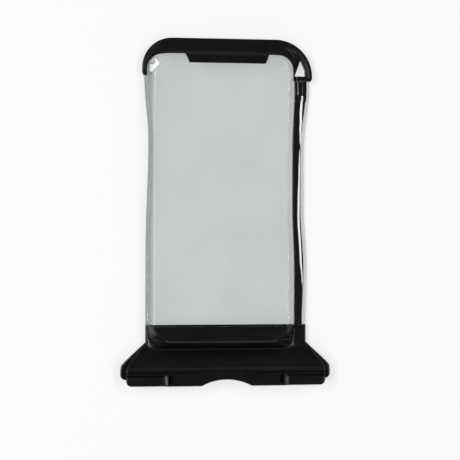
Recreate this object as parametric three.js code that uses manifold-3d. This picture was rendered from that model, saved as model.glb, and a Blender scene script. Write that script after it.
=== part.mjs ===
import * as THREE from 'three';
import Module from 'manifold-3d';
import { mergeVertices } from 'three/addons/utils/BufferGeometryUtils.js';

const wasm = await Module();
wasm.setup();

// Waterproof phone pouch, lying on its back. Millimetres. X is the width, Z points away from the
// table, and Y runs from the mouth edge of the front lip, y = 0, to the top of the end cap.

// Outline of the two films
const POUCH_LENGTH = 195.7;
const WAIST_HALF_WIDTH = 44.1;
const SHOULDER_EXTRA = 2.4;
const FOOT_EXTRA = 1.5;
const WAIST_BELOW_TOP = 58.7;
const SHOULDER_BELOW_TOP = 21.7;
const FOOT_ABOVE_MOUTH = 76;

// Right edge of the films, beside the welt: a longer waist, a broader shoulder and a broader foot
const WELT_SIDE_WAIST_EXTRA = 0.5;
const WELT_SIDE_SHOULDER_EXTRA = 3.1;
const WELT_SIDE_FOOT_EXTRA = 1.8;
const WELT_SIDE_WAIST_BELOW_TOP = 61.7;
const WELT_SIDE_SHOULDER_BELOW_TOP = 27.7;
const WELT_SIDE_WAIST_ABOVE_MOUTH = 100;
const WELT_SIDE_FOOT_ABOVE_MOUTH = 66;

// Films and skins
const BACK_SKIN = 0.8;
const FILM = 0.4;
const SKIN = 0.8;
const BOND = 0.3;

// Raised room for the phone
const ROOM_HEIGHT = 8.5;
const ROOM_CORNER_RADIUS = 11;
const ROOM_BELOW_TOP = 12.7;
const ROOM_PAST_FILM = 0.5;
const CLEAR_FLANGE = 1.3;
const LEFT_SLOPE_RUN = 2.2;
const RIGHT_SLOPE_RUN = 3.75;
const TOP_SLOPE_RUN = 8.5;
const LEFT_FOOT_RADIUS = 13.5;
const RIGHT_FOOT_RADIUS = 9.5;

// End cap
const CAP_CORNER_RADIUS = 17;
const CAP_RIGHT_CORNER_RADIUS = 21;
const RIM_WALL = 1.2;
const RIM_GRIP = 1.1;
const RIM_HEIGHT = 4;
const RIM_CHAMFER = 0.3;
const CAP_FRONT_DEPTH = 9.7;
const CAP_WINDOW_RADIUS = 8.5;
const CAP_LEFT_WINDOW_RADIUS = 8;
const CAP_LEFT_GRIP = 1.5;
const CAP_LEFT_ARM = 1.5;
const BACK_WINDOW_TOP_EXTRA = 2;
const BACK_WINDOW_SIDE_EXTRA = 0.6;
const TAB_TOP_HALF_WIDTH = 23.6;
const TAB_END_HALF_WIDTH = 21.4;
const TAB_LENGTH = 5.5;
const LEFT_ARM_BELOW_TOP = 21;
const RIGHT_ARM_BELOW_TOP = 23.2;
const ARM_TAPER = 2;
const ARM_TIP_SHARE = 0.3;
const BAND_WIDTH = 6.2;
const BAND_RISE = 1.4;
const BAND_FADE = 2;
const BAND_SHOULDER_SHARE = 0.2;

// Triangular hole for a lanyard, in the right shoulder, with its right side upright at the foot
const HOLE_HEIGHT = 9.8;
const HOLE_BASE_WIDTH = 6.2;
const HOLE_APEX_SHARE = 0.55;
const HOLE_UPRIGHT = 4;
const HOLE_UPRIGHT_LEAN = 0.3;
const HOLE_CORNER_TRIM = 0.6;
const HOLE_OFFSET = 0.1;
const HOLE_LEG = 0.8;
const HOLE_BRIDGE = 2.8;

// Side welt along the right edge
const WELT_INSET = 5.3;
const WELT_DRAW_IN = 1.1;
const WELT_FLANGE = 2.1;
const WELT_HEIGHT = 2.4;
const WELT_HEAD_EXTRA = 0.4;
const WELT_HEAD_LENGTH = 10;
const WELT_SHOULDER = 3;
const WELT_GAP = 0.2;

// Lips of the magnetic mouth
const COLLAR_LENGTH = 33.5;
const COLLAR_OVERLAP = 7.5;
const FRONT_LIP_EXTRA = 10.4;
const BACK_LIP_EXTRA = 13.9;
const BACK_LIP_SETBACK = 3;
const LIP_DEPTH = 10.8;
const FLARE_BELOW_ROOM = 1.7;
const RAIL_THICKNESS = 3.9;
const STRIP_THICKNESS = 0.8;
const STRIP_INSET = 1.2;
const LIP_CORNER_RADIUS = 3;
const LIP_EDGE_ROUND = 0.6;
const VALLEY_BELOW_ROOM = 6.5;
const FALL_STEPS = 10;
const SEAM_MARGIN = 1.1;
const SEAM_INSET = 1.8;
const NOTCH_CHORD = 28;
const NOTCH_DEPTH = 3.6;
const GRIP_INSET = 25.4;
const GRIP_HEIGHT = 6.2;
const GRIP_DEPTH = 0.9;
const GRIP_SLOT_WIDTH = 1.8;
const GRIP_SLOT_LENGTH = 4.6;
const GRIP_SLOT_DEPTH = 1.4;

// Magnets sealed in the lips
const MAGNETS_PER_LIP = 6;
const MAGNET_LENGTH = 12;
const MAGNET_WIDTH = 4.4;
const MAGNET_THICKNESS = 2;
const MAGNET_CLEARANCE = 0.3;
const MAGNET_RECESS = 0.4;
const MAGNET_END_MARGIN = 2;
const MAGNET_SET_BACK = 0.7;

// Heights worked out from the layers
const FILM_BOTTOM = BACK_SKIN + FILM;
const FLANGE_TOP = FILM_BOTTOM + FILM;
const ROOM_TOP = FLANGE_TOP + ROOM_HEIGHT;
const STRIP_MEET = RAIL_THICKNESS + STRIP_THICKNESS;
const FRONT_RAIL_BOTTOM = STRIP_MEET + STRIP_THICKNESS;
const LIP_TOP = FRONT_RAIL_BOTTOM + RAIL_THICKNESS;
const PAST_EVERYTHING = ROOM_TOP + 10;

// Places worked out from the outline
const FOOT_HALF_WIDTH = WAIST_HALF_WIDTH + FOOT_EXTRA;
const WAIST_Y = POUCH_LENGTH - WAIST_BELOW_TOP;
const SHOULDER_Y = POUCH_LENGTH - SHOULDER_BELOW_TOP;
const FILM_TOP = POUCH_LENGTH - RIM_WALL;
const FILM_CORNER_RADIUS = CAP_CORNER_RADIUS - RIM_WALL;
const FILM_RIGHT_CORNER_RADIUS = CAP_RIGHT_CORNER_RADIUS - RIM_WALL;
const WELT_WAIST_UPPER = POUCH_LENGTH - WELT_SIDE_WAIST_BELOW_TOP;
const WELT_SHOULDER_Y = POUCH_LENGTH - WELT_SIDE_SHOULDER_BELOW_TOP;
const FILM_END = COLLAR_LENGTH - COLLAR_OVERLAP;
const ROOM_START = FILM_END - ROOM_PAST_FILM;
const FLARE_END = ROOM_START - FLARE_BELOW_ROOM;
const VALLEY_Y = ROOM_START - VALLEY_BELOW_ROOM;
const ROOM_UPPER = POUCH_LENGTH - ROOM_BELOW_TOP;
const ROOM_LEFT = -(WAIST_HALF_WIDTH - CLEAR_FLANGE - LEFT_SLOPE_RUN);
const WELT_INNER = WAIST_HALF_WIDTH - WELT_INSET;
const RIGHT_FOOT = WELT_INNER - WELT_GAP;
const ROOM_RIGHT = RIGHT_FOOT - RIGHT_SLOPE_RUN;
const CAP_WINDOW_TOP = POUCH_LENGTH - CAP_FRONT_DEPTH;
const HOLE_LEFT = WELT_INNER + HOLE_OFFSET;
const LEFT_ARM_END = POUCH_LENGTH - LEFT_ARM_BELOW_TOP;
const RIGHT_ARM_END = POUCH_LENGTH - RIGHT_ARM_BELOW_TOP;
const BRIDGE_END = RIGHT_ARM_END - BOND;
const FRONT_LIP_HALF_WIDTH = FOOT_HALF_WIDTH + FRONT_LIP_EXTRA;
const BACK_LIP_HALF_WIDTH = FOOT_HALF_WIDTH + BACK_LIP_EXTRA;
const { lerp, smoothstep, clamp } = THREE.MathUtils;

// Turns a three.js geometry into a solid that can be cut and joined
function solidOf(geometry) {
  const plain = geometry.clone();
  plain.deleteAttribute('normal');
  plain.deleteAttribute('uv');
  const merged = mergeVertices(plain, 1e-5);
  return new wasm.Manifold(new wasm.Mesh({
    numProp: 3,
    vertProperties: new Float32Array(merged.attributes.position.array),
    triVerts: new Uint32Array(merged.index.array),
  }));
}

function geometryOf(solid) {
  const mesh = solid.getMesh();
  const geometry = new THREE.BufferGeometry();
  geometry.setAttribute('position', new THREE.BufferAttribute(new Float32Array(mesh.vertProperties), 3));
  geometry.setIndex(new THREE.BufferAttribute(new Uint32Array(mesh.triVerts), 1));
  return geometry;
}

// An outline in the XY plane raised from one height to another
function prism(shape, low, high, curveSegments = 8) {
  const options = { depth: high - low, bevelEnabled: false, curveSegments };
  return solidOf(new THREE.ExtrudeGeometry(shape, options).translate(0, 0, low));
}

function box(left, right, near, far, low, high) {
  const geometry = new THREE.BoxGeometry(right - left, far - near, high - low);
  return solidOf(geometry.translate((left + right) / 2, (near + far) / 2, (low + high) / 2));
}

// A closed solid from a list of closed sections with the same number of points each
function loft(sections) {
  const count = sections[0].length;
  const positions = sections.flat().flatMap((point) => [point.x, point.y, point.z]);
  const index = [];
  for (let row = 0; row + 1 < sections.length; row += 1) {
    for (let k = 0; k < count; k += 1) {
      const a = row * count + k;
      const b = row * count + ((k + 1) % count);
      index.push(a, b, b + count, a, b + count, a + count);
    }
  }
  const flat = THREE.ShapeUtils.triangulateShape(flattened(sections[0]), []);
  const last = (sections.length - 1) * count;
  const flatEnd = THREE.ShapeUtils.triangulateShape(flattened(sections[sections.length - 1]), []);
  flat.forEach(([a, b, c]) => index.push(c, b, a));
  flatEnd.forEach(([a, b, c]) => index.push(last + a, last + b, last + c));
  return outwardSolid(positions, index);
}

// A section's points in the plane of the section, for filling its end
function flattened(section) {
  const along = new THREE.Vector3();
  section.forEach((point, k) => {
    const next = section[(k + 1) % section.length];
    along.add(new THREE.Vector3().crossVectors(point, next));
  });
  const across = new THREE.Vector3(-along.y, along.x, 0).normalize();
  return section.map((point) => new THREE.Vector2(point.dot(across), point.z));
}

// Builds a solid from raw points and faces, and turns it over if its faces point inwards
function outwardSolid(positions, index) {
  let volume = 0;
  const corner = (k) => new THREE.Vector3().fromArray(positions, index[k] * 3);
  for (let k = 0; k < index.length; k += 3) {
    volume += corner(k).dot(corner(k + 1).cross(corner(k + 2)));
  }
  if (volume < 0) index.reverse();
  const geometry = new THREE.BufferGeometry();
  geometry.setAttribute('position', new THREE.Float32BufferAttribute(positions, 3));
  geometry.setIndex(index);
  return solidOf(geometry);
}

// A closed solid between a top sheet and a bottom sheet, both given as rows of points
function slab(topRows, bottomRows) {
  const width = topRows[0].length;
  const sheet = topRows.length * width;
  const positions = [...topRows.flat(), ...bottomRows.flat()].flatMap((point) => [point.x, point.y, point.z]);
  const index = [];
  const quad = (a, b, c, d) => index.push(a, b, c, a, c, d);
  for (let row = 0; row + 1 < topRows.length; row += 1) {
    for (let k = 0; k + 1 < width; k += 1) {
      const a = row * width + k;
      quad(a, a + 1, a + 1 + width, a + width);
      quad(sheet + a, sheet + a + width, sheet + a + 1 + width, sheet + a + 1);
    }
  }
  const rim = [];
  for (let k = 0; k < width; k += 1) rim.push(k);
  for (let row = 1; row < topRows.length; row += 1) rim.push(row * width + width - 1);
  for (let k = width - 2; k >= 0; k -= 1) rim.push(sheet - width + k);
  for (let row = topRows.length - 2; row >= 1; row -= 1) rim.push(row * width);
  rim.forEach((a, k) => {
    const b = rim[(k + 1) % rim.length];
    quad(b, a, sheet + a, sheet + b);
  });
  return outwardSolid(positions, index);
}

// Half width of the films, narrow at the waist
function filmHalfWidth(y) {
  const foot = smoothstep(WAIST_Y - y, 0, WAIST_Y - FOOT_ABOVE_MOUTH);
  const shoulder = smoothstep(y - WAIST_Y, 0, SHOULDER_Y - WAIST_Y);
  return WAIST_HALF_WIDTH + FOOT_EXTRA * foot + SHOULDER_EXTRA * shoulder;
}

// Shares of the shoulder and of the foot in the films' right edge
const weltShoulder = (y) => smoothstep(y, WELT_WAIST_UPPER, WELT_SHOULDER_Y);
const weltFoot = (y) => (
  1 - smoothstep(y, WELT_SIDE_FOOT_ABOVE_MOUTH, WELT_SIDE_WAIST_ABOVE_MOUTH)
);

// Right edge of the films, which meets the collar's own width at the foot
function filmRight(y) {
  const waist = WAIST_HALF_WIDTH + WELT_SIDE_WAIST_EXTRA;
  const beside = waist + WELT_SIDE_SHOULDER_EXTRA * weltShoulder(y) + WELT_SIDE_FOOT_EXTRA * weltFoot(y);
  return lerp(filmHalfWidth(y), beside, smoothstep(y, COLLAR_LENGTH, WELT_SIDE_FOOT_ABOVE_MOUTH));
}

// Inner side of the welt: straight, but drawn in with the films beside the waist
const weltInner = (y) => WELT_INNER - WELT_DRAW_IN * (1 - weltShoulder(y)) * (1 - weltFoot(y));

// How far the raised room's side draws in beside its lower round corner
function roomCornerInset(y) {
  const below = clamp(ROOM_START + ROOM_CORNER_RADIUS - y, 0, ROOM_CORNER_RADIUS);
  return ROOM_CORNER_RADIUS - Math.sqrt(ROOM_CORNER_RADIUS ** 2 - below ** 2);
}

// An outline that runs up the left side, over the top and down the right side
function archPath({ left, right, top, leftRadius, rightRadius }) {
  const leftTop = top - leftRadius;
  const rightTop = top - rightRadius;
  const leftCentre = left(leftTop) + leftRadius;
  const rightCentre = right(rightTop) - rightRadius;
  return ({ leg, t }) => {
    const cos = Math.cos(t * Math.PI / 2);
    const sin = Math.sin(t * Math.PI / 2);
    if (leg === 'left') {
      const y = lerp(FILM_END, leftTop, t);
      return new THREE.Vector2(left(y), y);
    }
    if (leg === 'left corner') {
      return new THREE.Vector2(leftCentre - leftRadius * cos, leftTop + leftRadius * sin);
    }
    if (leg === 'top') {
      return new THREE.Vector2(lerp(leftCentre, rightCentre, t), top);
    }
    if (leg === 'right corner') {
      return new THREE.Vector2(rightCentre + rightRadius * sin, rightTop + rightRadius * cos);
    }
    const y = lerp(rightTop, FILM_END, t);
    return new THREE.Vector2(right(y), y);
  };
}

const filmEdge = archPath({
  left: (y) => -filmHalfWidth(y),
  right: filmRight,
  top: FILM_TOP,
  leftRadius: FILM_CORNER_RADIUS,
  rightRadius: FILM_RIGHT_CORNER_RADIUS,
});
const slopeFoot = archPath({
  left: (y) => -(filmHalfWidth(y) - CLEAR_FLANGE),
  right: (y) => weltInner(y) - WELT_GAP,
  top: ROOM_UPPER + TOP_SLOPE_RUN,
  leftRadius: LEFT_FOOT_RADIUS,
  rightRadius: RIGHT_FOOT_RADIUS,
});
const slopeCrest = archPath({
  left: (y) => ROOM_LEFT + roomCornerInset(y),
  right: (y) => ROOM_RIGHT - roomCornerInset(y),
  top: ROOM_UPPER,
  leftRadius: ROOM_CORNER_RADIUS,
  rightRadius: ROOM_CORNER_RADIUS,
});

// Evenly spaced shares from 0 to 1
const shares = (steps) => [...Array(steps + 1).keys()].map((k) => k / steps);

// Places along the arch where its cross-sections are taken
const legStations = (leg, steps) => shares(steps).slice(1).map((t) => ({ leg, t }));
const COLLAR_STEPS = [0, 0.006, 0.014, 0.024, 0.036, 0.052, 0.075];
const SIDE_STEPS = [...COLLAR_STEPS, ...shares(11).slice(1).map((share) => lerp(0.075, 1, share))];
const stations = [
  ...SIDE_STEPS.map((t) => ({ leg: 'left', t })),
  ...legStations('left corner', 7),
  ...legStations('top', 4),
  ...legStations('right corner', 7),
  ...SIDE_STEPS.slice(0, -1).reverse().map((t) => ({ leg: 'right', t: 1 - t })),
];

// Rise of the film between the flange and the room's top: eased at both ends
const SLOPE_SHARES = [0, 0.12, 0.35, 0.62, 0.85, 1];
const rise = (share) => 0.5 * (share + smoothstep(share, 0, 1));

// One cross-section of the front film's outer face, moved out by a distance, from edge to room
function filmSection(edge, foot, crest, offset, inward = 0) {
  const inner = crest.clone().sub(foot).normalize();
  const plan = [edge, ...SLOPE_SHARES.map((share) => foot.clone().lerp(crest, share))];
  const heights = [FLANGE_TOP, ...SLOPE_SHARES.map((share) => FLANGE_TOP + ROOM_HEIGHT * rise(share))];
  if (inward > 0) {
    plan.push(crest.clone().addScaledVector(inner, inward));
    heights.push(ROOM_TOP);
  }
  const reach = [0];
  for (let k = 1; k < plan.length; k += 1) reach.push(reach[k - 1] + plan[k].distanceTo(plan[k - 1]));
  const normal = (k) => {
    const step = new THREE.Vector2(reach[k + 1] - reach[k], heights[k + 1] - heights[k]).normalize();
    return new THREE.Vector2(-step.y, step.x);
  };
  return plan.map((point, k) => {
    const before = k > 0 ? normal(k - 1) : new THREE.Vector2(0, 1);
    const after = k + 1 < plan.length ? normal(k) : new THREE.Vector2(0, 1);
    const mitre = before.clone().add(after).normalize();
    mitre.multiplyScalar(offset / Math.max(0.5, mitre.dot(after)));
    const along = plan[Math.min(k + 1, plan.length - 1)].clone().sub(plan[Math.max(k - 1, 0)]).normalize();
    return new THREE.Vector3(point.x + along.x * mitre.x, point.y + along.y * mitre.x, heights[k] + mitre.y);
  });
}

function stationSection(station, offset, inward) {
  return filmSection(filmEdge(station), slopeFoot(station), slopeCrest(station), offset, inward);
}

// Clear front film, dished over the room
function frontFilm() {
  const outer = stations.map((station) => stationSection(station, 0));
  const inner = stations.map((station) => stationSection(station, -FILM));
  const width = outer[0].length;
  const sheet = outer.length * width;
  const positions = [...outer.flat(), ...inner.flat()].flatMap((point) => [point.x, point.y, point.z]);
  const index = [];
  const quad = (a, b, c, d) => index.push(a, b, c, a, c, d);
  for (let row = 0; row + 1 < outer.length; row += 1) {
    for (let k = 0; k + 1 < width; k += 1) {
      const a = row * width + k;
      quad(a, a + width, a + 1 + width, a + 1);
      quad(sheet + a, sheet + a + 1, sheet + a + 1 + width, sheet + a + width);
    }
    const edge = row * width;
    quad(edge + width, edge, sheet + edge, sheet + edge + width);
  }
  const crestLoop = outer.map((section) => new THREE.Vector2(section[width - 1].x, section[width - 1].y));
  THREE.ShapeUtils.triangulateShape(crestLoop, []).forEach((corners) => {
    const [a, b, c] = corners.map((corner) => corner * width + width - 1);
    index.push(a, c, b);
    index.push(sheet + a, sheet + b, sheet + c);
  });
  const first = [];
  for (let k = 0; k < width; k += 1) first.push(k);
  for (let k = width - 1; k >= 0; k -= 1) first.push((outer.length - 1) * width + k);
  for (let k = 0; k + 1 < first.length; k += 1) {
    quad(first[k], first[k + 1], sheet + first[k + 1], sheet + first[k]);
  }
  return outwardSolid(positions, index);
}

// Flat outline of the films, which one shape gives to both
function filmShape() {
  const shape = new THREE.Shape(stations.map((station) => filmEdge(station)));
  shape.closePath();
  return shape;
}

// Lanyard hole: a triangle with small round corners and an upright foot on its right
function lanyardShape() {
  const base = BRIDGE_END + HOLE_BRIDGE;
  const right = HOLE_LEFT + HOLE_BASE_WIDTH;
  const corners = [
    new THREE.Vector2(HOLE_LEFT, base),
    new THREE.Vector2(right, base),
    new THREE.Vector2(right - HOLE_UPRIGHT_LEAN, base + HOLE_UPRIGHT),
    new THREE.Vector2(HOLE_LEFT + HOLE_BASE_WIDTH * HOLE_APEX_SHARE, base + HOLE_HEIGHT),
  ];
  const count = corners.length;
  const shape = new THREE.Shape();
  corners.forEach((corner, k) => {
    const towards = (other) => {
      const away = corners[other % count].clone().sub(corner);
      return away.setLength(HOLE_CORNER_TRIM).add(corner);
    };
    const before = towards(k + count - 1);
    const after = towards(k + 1);
    if (k === 0) shape.moveTo(before.x, before.y);
    else shape.lineTo(before.x, before.y);
    shape.quadraticCurveTo(corner.x, corner.y, after.x, after.y);
  });
  shape.closePath();
  return shape;
}
const lanyardCut = () => prism(lanyardShape(), -1, PAST_EVERYTHING, 4);

// Round corner of the films at the left, side -1, or at the right, side 1
function filmCorner(side) {
  const radius = side > 0 ? FILM_RIGHT_CORNER_RADIUS : FILM_CORNER_RADIUS;
  const y = FILM_TOP - radius;
  const x = side > 0 ? filmRight(y) - radius : radius - filmHalfWidth(y);
  return { radius, centre: new THREE.Vector2(x, y) };
}

// Outer edge of the cap, drawn in by a distance, from the left arm over the top to the right one
function capArch(inset, leftEnd, rightEnd) {
  const grow = RIM_WALL - inset;
  const left = filmCorner(-1);
  const right = filmCorner(1);
  const shape = new THREE.Shape();
  shape.moveTo(-filmHalfWidth(leftEnd) - grow, leftEnd);
  shape.lineTo(left.centre.x - left.radius - grow, left.centre.y);
  shape.absarc(left.centre.x, left.centre.y, left.radius + grow, Math.PI, Math.PI / 2, true);
  shape.absarc(right.centre.x, right.centre.y, right.radius + grow, Math.PI / 2, 0, true);
  shape.lineTo(filmRight(rightEnd) + grow, rightEnd);
  return shape;
}

// One face of the cap: a broad right shoulder round the hole, and a slim left arm. The front has a
// middle tab, and the back's window reaches a little further out
function capFaceShape(isFront) {
  const inset = RIM_WALL / 2;
  const arc = CAP_WINDOW_RADIUS;
  const leftArc = CAP_LEFT_WINDOW_RADIUS;
  const windowTop = CAP_WINDOW_TOP + (isFront ? 0 : BACK_WINDOW_TOP_EXTRA);
  const edge = HOLE_LEFT - HOLE_LEG + (isFront ? 0 : BACK_WINDOW_SIDE_EXTRA);
  const leftEdge = -(filmHalfWidth(SHOULDER_Y) - CAP_LEFT_GRIP);
  const leftEnd = FILM_TOP - FILM_CORNER_RADIUS - CAP_LEFT_ARM;
  const shape = capArch(inset, leftEnd, RIGHT_ARM_END);
  shape.lineTo(edge, RIGHT_ARM_END);
  shape.lineTo(edge, windowTop - arc);
  shape.absarc(edge - arc, windowTop - arc, arc, 0, Math.PI / 2, false);
  if (isFront) {
    shape.lineTo(TAB_TOP_HALF_WIDTH, windowTop);
    shape.lineTo(TAB_END_HALF_WIDTH, windowTop - TAB_LENGTH);
    shape.lineTo(-TAB_END_HALF_WIDTH, windowTop - TAB_LENGTH);
    shape.lineTo(-TAB_TOP_HALF_WIDTH, windowTop);
  }
  shape.lineTo(leftEdge + leftArc, windowTop);
  shape.absarc(leftEdge + leftArc, windowTop - leftArc, leftArc, Math.PI / 2, Math.PI, false);
  shape.lineTo(leftEdge, leftEnd);
  shape.closePath();
  return shape;
}

// Rim bead: a channel that grips the edges of both films, thinner towards its two ends
function capRim() {
  const armAt = (y, side) => {
    const x = side > 0 ? filmRight(y) : -filmHalfWidth(y);
    return { edge: new THREE.Vector2(x, y), out: new THREE.Vector2(side, 0) };
  };
  const corner = (side, turn) => {
    const { radius, centre } = filmCorner(side);
    const out = new THREE.Vector2(side * Math.cos(turn), Math.sin(turn));
    return { edge: centre.addScaledVector(out, radius), out };
  };
  const arc = shares(8).map((share) => share * Math.PI / 2);
  const taper = (end, side) => [0, 0.4, 1].map((share) => (
    { ...armAt(end + ARM_TAPER * share, side), size: lerp(ARM_TIP_SHARE, 1, smoothstep(share, -0.1, 1)) }
  ));
  const places = [
    ...taper(LEFT_ARM_END, -1),
    ...arc.map((turn) => ({ ...corner(-1, turn), size: 1 })),
    ...arc.slice().reverse().map((turn) => ({ ...corner(1, turn), size: 1 })),
    ...taper(RIGHT_ARM_END, 1).reverse(),
  ];
  const slotEnd = BOND;
  const slotTop = FLANGE_TOP + BOND;
  const skinTop = slotTop + SKIN;
  return loft(places.map(({ edge, out, size }) => {
    const wall = lerp(slotEnd, RIM_WALL, size);
    const grip = RIM_GRIP * size;
    const top = lerp(skinTop, RIM_HEIGHT, size);
    const profile = [
      [-grip, 0],
      [wall - RIM_CHAMFER, 0],
      [wall, RIM_CHAMFER],
      [wall, lerp(slotTop, top, 0.4)],
      [wall * 0.7, lerp(slotTop, top, 0.8)],
      [0, top],
      [-grip * 0.7, lerp(skinTop, top, 0.7)],
      [-grip, skinTop],
      [-grip, slotTop],
      [slotEnd, slotTop],
      [slotEnd, BACK_SKIN],
      [-grip, BACK_SKIN],
    ];
    return profile.map(([off, z]) => new THREE.Vector3(edge.x + out.x * off, edge.y + out.y * off, z));
  }));
}

// How much of the broad crowned band a place on the cap has: all of it along the top
function bandShare({ leg, t }) {
  if (leg === 'top') return 1;
  if (leg === 'left corner') return smoothstep(t, 0.2, 1);
  if (leg === 'right corner') return lerp(1, BAND_SHOULDER_SHARE, smoothstep(t, 0, 0.8));
  return leg === 'right' ? BAND_SHOULDER_SHARE : 0;
}

// Skin that follows the front film from the rim towards the room, filled out to a band by the rim
function capSkin() {
  const onCap = { left: (t) => t > 0.6, right: (t) => t < 0.4 };
  const upper = stations.filter(({ leg, t }) => !onCap[leg] || onCap[leg](t));
  const top = upper.map((station) => {
    const section = stationSection(station, BOND + SKIN, TAB_LENGTH);
    const edge = section[0].clone();
    return section.map((point) => {
      const reach = Math.hypot(point.x - edge.x, point.y - edge.y);
      const crown = RIM_HEIGHT + BAND_RISE * reach / BAND_WIDTH;
      const fade = smoothstep(reach, BAND_WIDTH - BAND_FADE, BAND_WIDTH + BAND_FADE);
      const share = bandShare(station) * (1 - fade);
      const raised = Math.max(point.z, lerp(point.z, crown, share));
      return new THREE.Vector3(point.x, point.y, raised);
    });
  });
  const bottom = upper.map((station) => stationSection(station, BOND, TAB_LENGTH));
  return slab(top, bottom).intersect(prism(capFaceShape(true), 0, PAST_EVERYTHING, 10));
}

function endCap() {
  const backSkin = prism(capFaceShape(false), 0, BACK_SKIN, 10);
  return capRim().add(capSkin()).add(backSkin).subtract(lanyardCut());
}

// Half-round welt that follows the edge of the films, a little broader at its head below the hole
function sideWelt() {
  const headEnd = BRIDGE_END - WELT_HEAD_LENGTH;
  const neckTop = headEnd - WELT_SHOULDER;
  const bottom = COLLAR_LENGTH + BOND;
  const levels = [BRIDGE_END, headEnd, ...shares(26).map((share) => lerp(neckTop, bottom, share))];
  return loft(levels.map((y) => {
    const head = 1 - smoothstep(headEnd - y, 0, WELT_SHOULDER);
    const inner = weltInner(y);
    const half = (filmRight(y) - WELT_FLANGE + WELT_HEAD_EXTRA * head - inner) / 2;
    return shares(8).map((share) => {
      const turn = Math.PI * share;
      const x = inner + half - half * Math.cos(turn);
      return new THREE.Vector3(x, y, FLANGE_TOP + WELT_HEIGHT * Math.sin(turn));
    });
  }));
}

// Half width of a lip: the collar follows the films, then flares out to the closing bar
function lipHalfWidth(y, barHalfWidth) {
  if (y >= FLARE_END) return filmHalfWidth(y);
  return lerp(filmHalfWidth(FLARE_END), barHalfWidth, clamp((FLARE_END - y) / (FLARE_END - LIP_DEPTH), 0, 1));
}

// Seam between the two lips beside the mouth, which comes down to the films
const seamHeight = (y) => (
  lerp(STRIP_MEET, FILM_BOTTOM + BOND / 2, smoothstep(y, LIP_DEPTH + SEAM_MARGIN, FLARE_END))
);

// The bar rises from the collar's edge to its full height at the ridge
const barHeight = (y) => {
  const collarEdge = FLANGE_TOP + BOND + SKIN;
  return lerp(LIP_TOP, collarEdge, smoothstep(y, LIP_DEPTH - LIP_EDGE_ROUND, FLARE_END + LIP_EDGE_ROUND));
};

// One row of the collar: the left half of the film's section, the room's top, then the right half
function collarRow(left, right) {
  const middle = [1, 2, 3].map((k) => left[left.length - 1].clone().lerp(right[right.length - 1], k / 4));
  return [...left, ...middle, ...right.reverse()];
}

function collarRowAtStation(t, offset) {
  const left = stationSection({ leg: 'left', t }, offset);
  return collarRow(left, stationSection({ leg: 'right', t: 1 - t }, offset));
}

function collarRowAtMouth(offset) {
  const y = ROOM_START;
  const half = filmHalfWidth(y);
  const at = (x) => new THREE.Vector2(x, y);
  const inset = roomCornerInset(y);
  const left = filmSection(at(-half), at(CLEAR_FLANGE - half), at(ROOM_LEFT + inset), offset);
  const right = filmSection(at(half), at(RIGHT_FOOT), at(ROOM_RIGHT - inset), offset);
  return collarRow(left, right);
}

// Front lip: collar over the film, a valley, and the thick bar that holds the magnets
function frontLipBlock() {
  const fallEnd = LIP_DEPTH + SEAM_MARGIN;
  const fallRows = shares(FALL_STEPS).slice(1).map((share) => lerp(ROOM_START, fallEnd, share));
  fallRows.push(LIP_DEPTH);
  const barRows = [LIP_DEPTH - LIP_EDGE_ROUND, LIP_EDGE_ROUND, 0];
  const topStart = collarRowAtMouth(BOND + SKIN);
  const bottomStart = collarRowAtMouth(BOND);
  const sideColumn = (k) => k < 2 || k > topStart.length - 3;
  const spread = (y) => lipHalfWidth(y, FRONT_LIP_HALF_WIDTH) / filmHalfWidth(ROOM_START);
  const collarSteps = COLLAR_STEPS.slice().reverse();
  const topRows = [...collarSteps.map((t) => collarRowAtStation(t, BOND + SKIN)), topStart];
  const bottomRows = [...collarSteps.map((t) => collarRowAtStation(t, BOND)), bottomStart];
  fallRows.forEach((y) => {
    const fall = smoothstep(y, VALLEY_Y - 1, ROOM_START + 0.6);
    topRows.push(topStart.map((point) => {
      const bulge = lerp(FLANGE_TOP + BOND + SKIN, point.z, fall);
      return new THREE.Vector3(point.x * spread(y), y, Math.max(bulge, barHeight(y)));
    }));
    bottomRows.push(bottomStart.map((point, k) => {
      const top = topRows[topRows.length - 1][k].z;
      const under = y <= LIP_DEPTH ? FRONT_RAIL_BOTTOM : seamHeight(y) + BOND / 2;
      const roof = y < VALLEY_Y ? Math.min(top - SKIN, FRONT_RAIL_BOTTOM) : top - SKIN;
      return new THREE.Vector3(point.x * spread(y), y, sideColumn(k) ? under : Math.max(roof, under));
    }));
  });
  barRows.forEach((y) => {
    const drop = y === 0 ? LIP_EDGE_ROUND / 2 : 0;
    topRows.push(topStart.map((point) => new THREE.Vector3(point.x * spread(y), y, LIP_TOP - drop)));
    bottomRows.push(bottomStart.map((point) => new THREE.Vector3(point.x * spread(y), y, FRONT_RAIL_BOTTOM)));
  });
  return slab(topRows, bottomRows);
}

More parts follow.
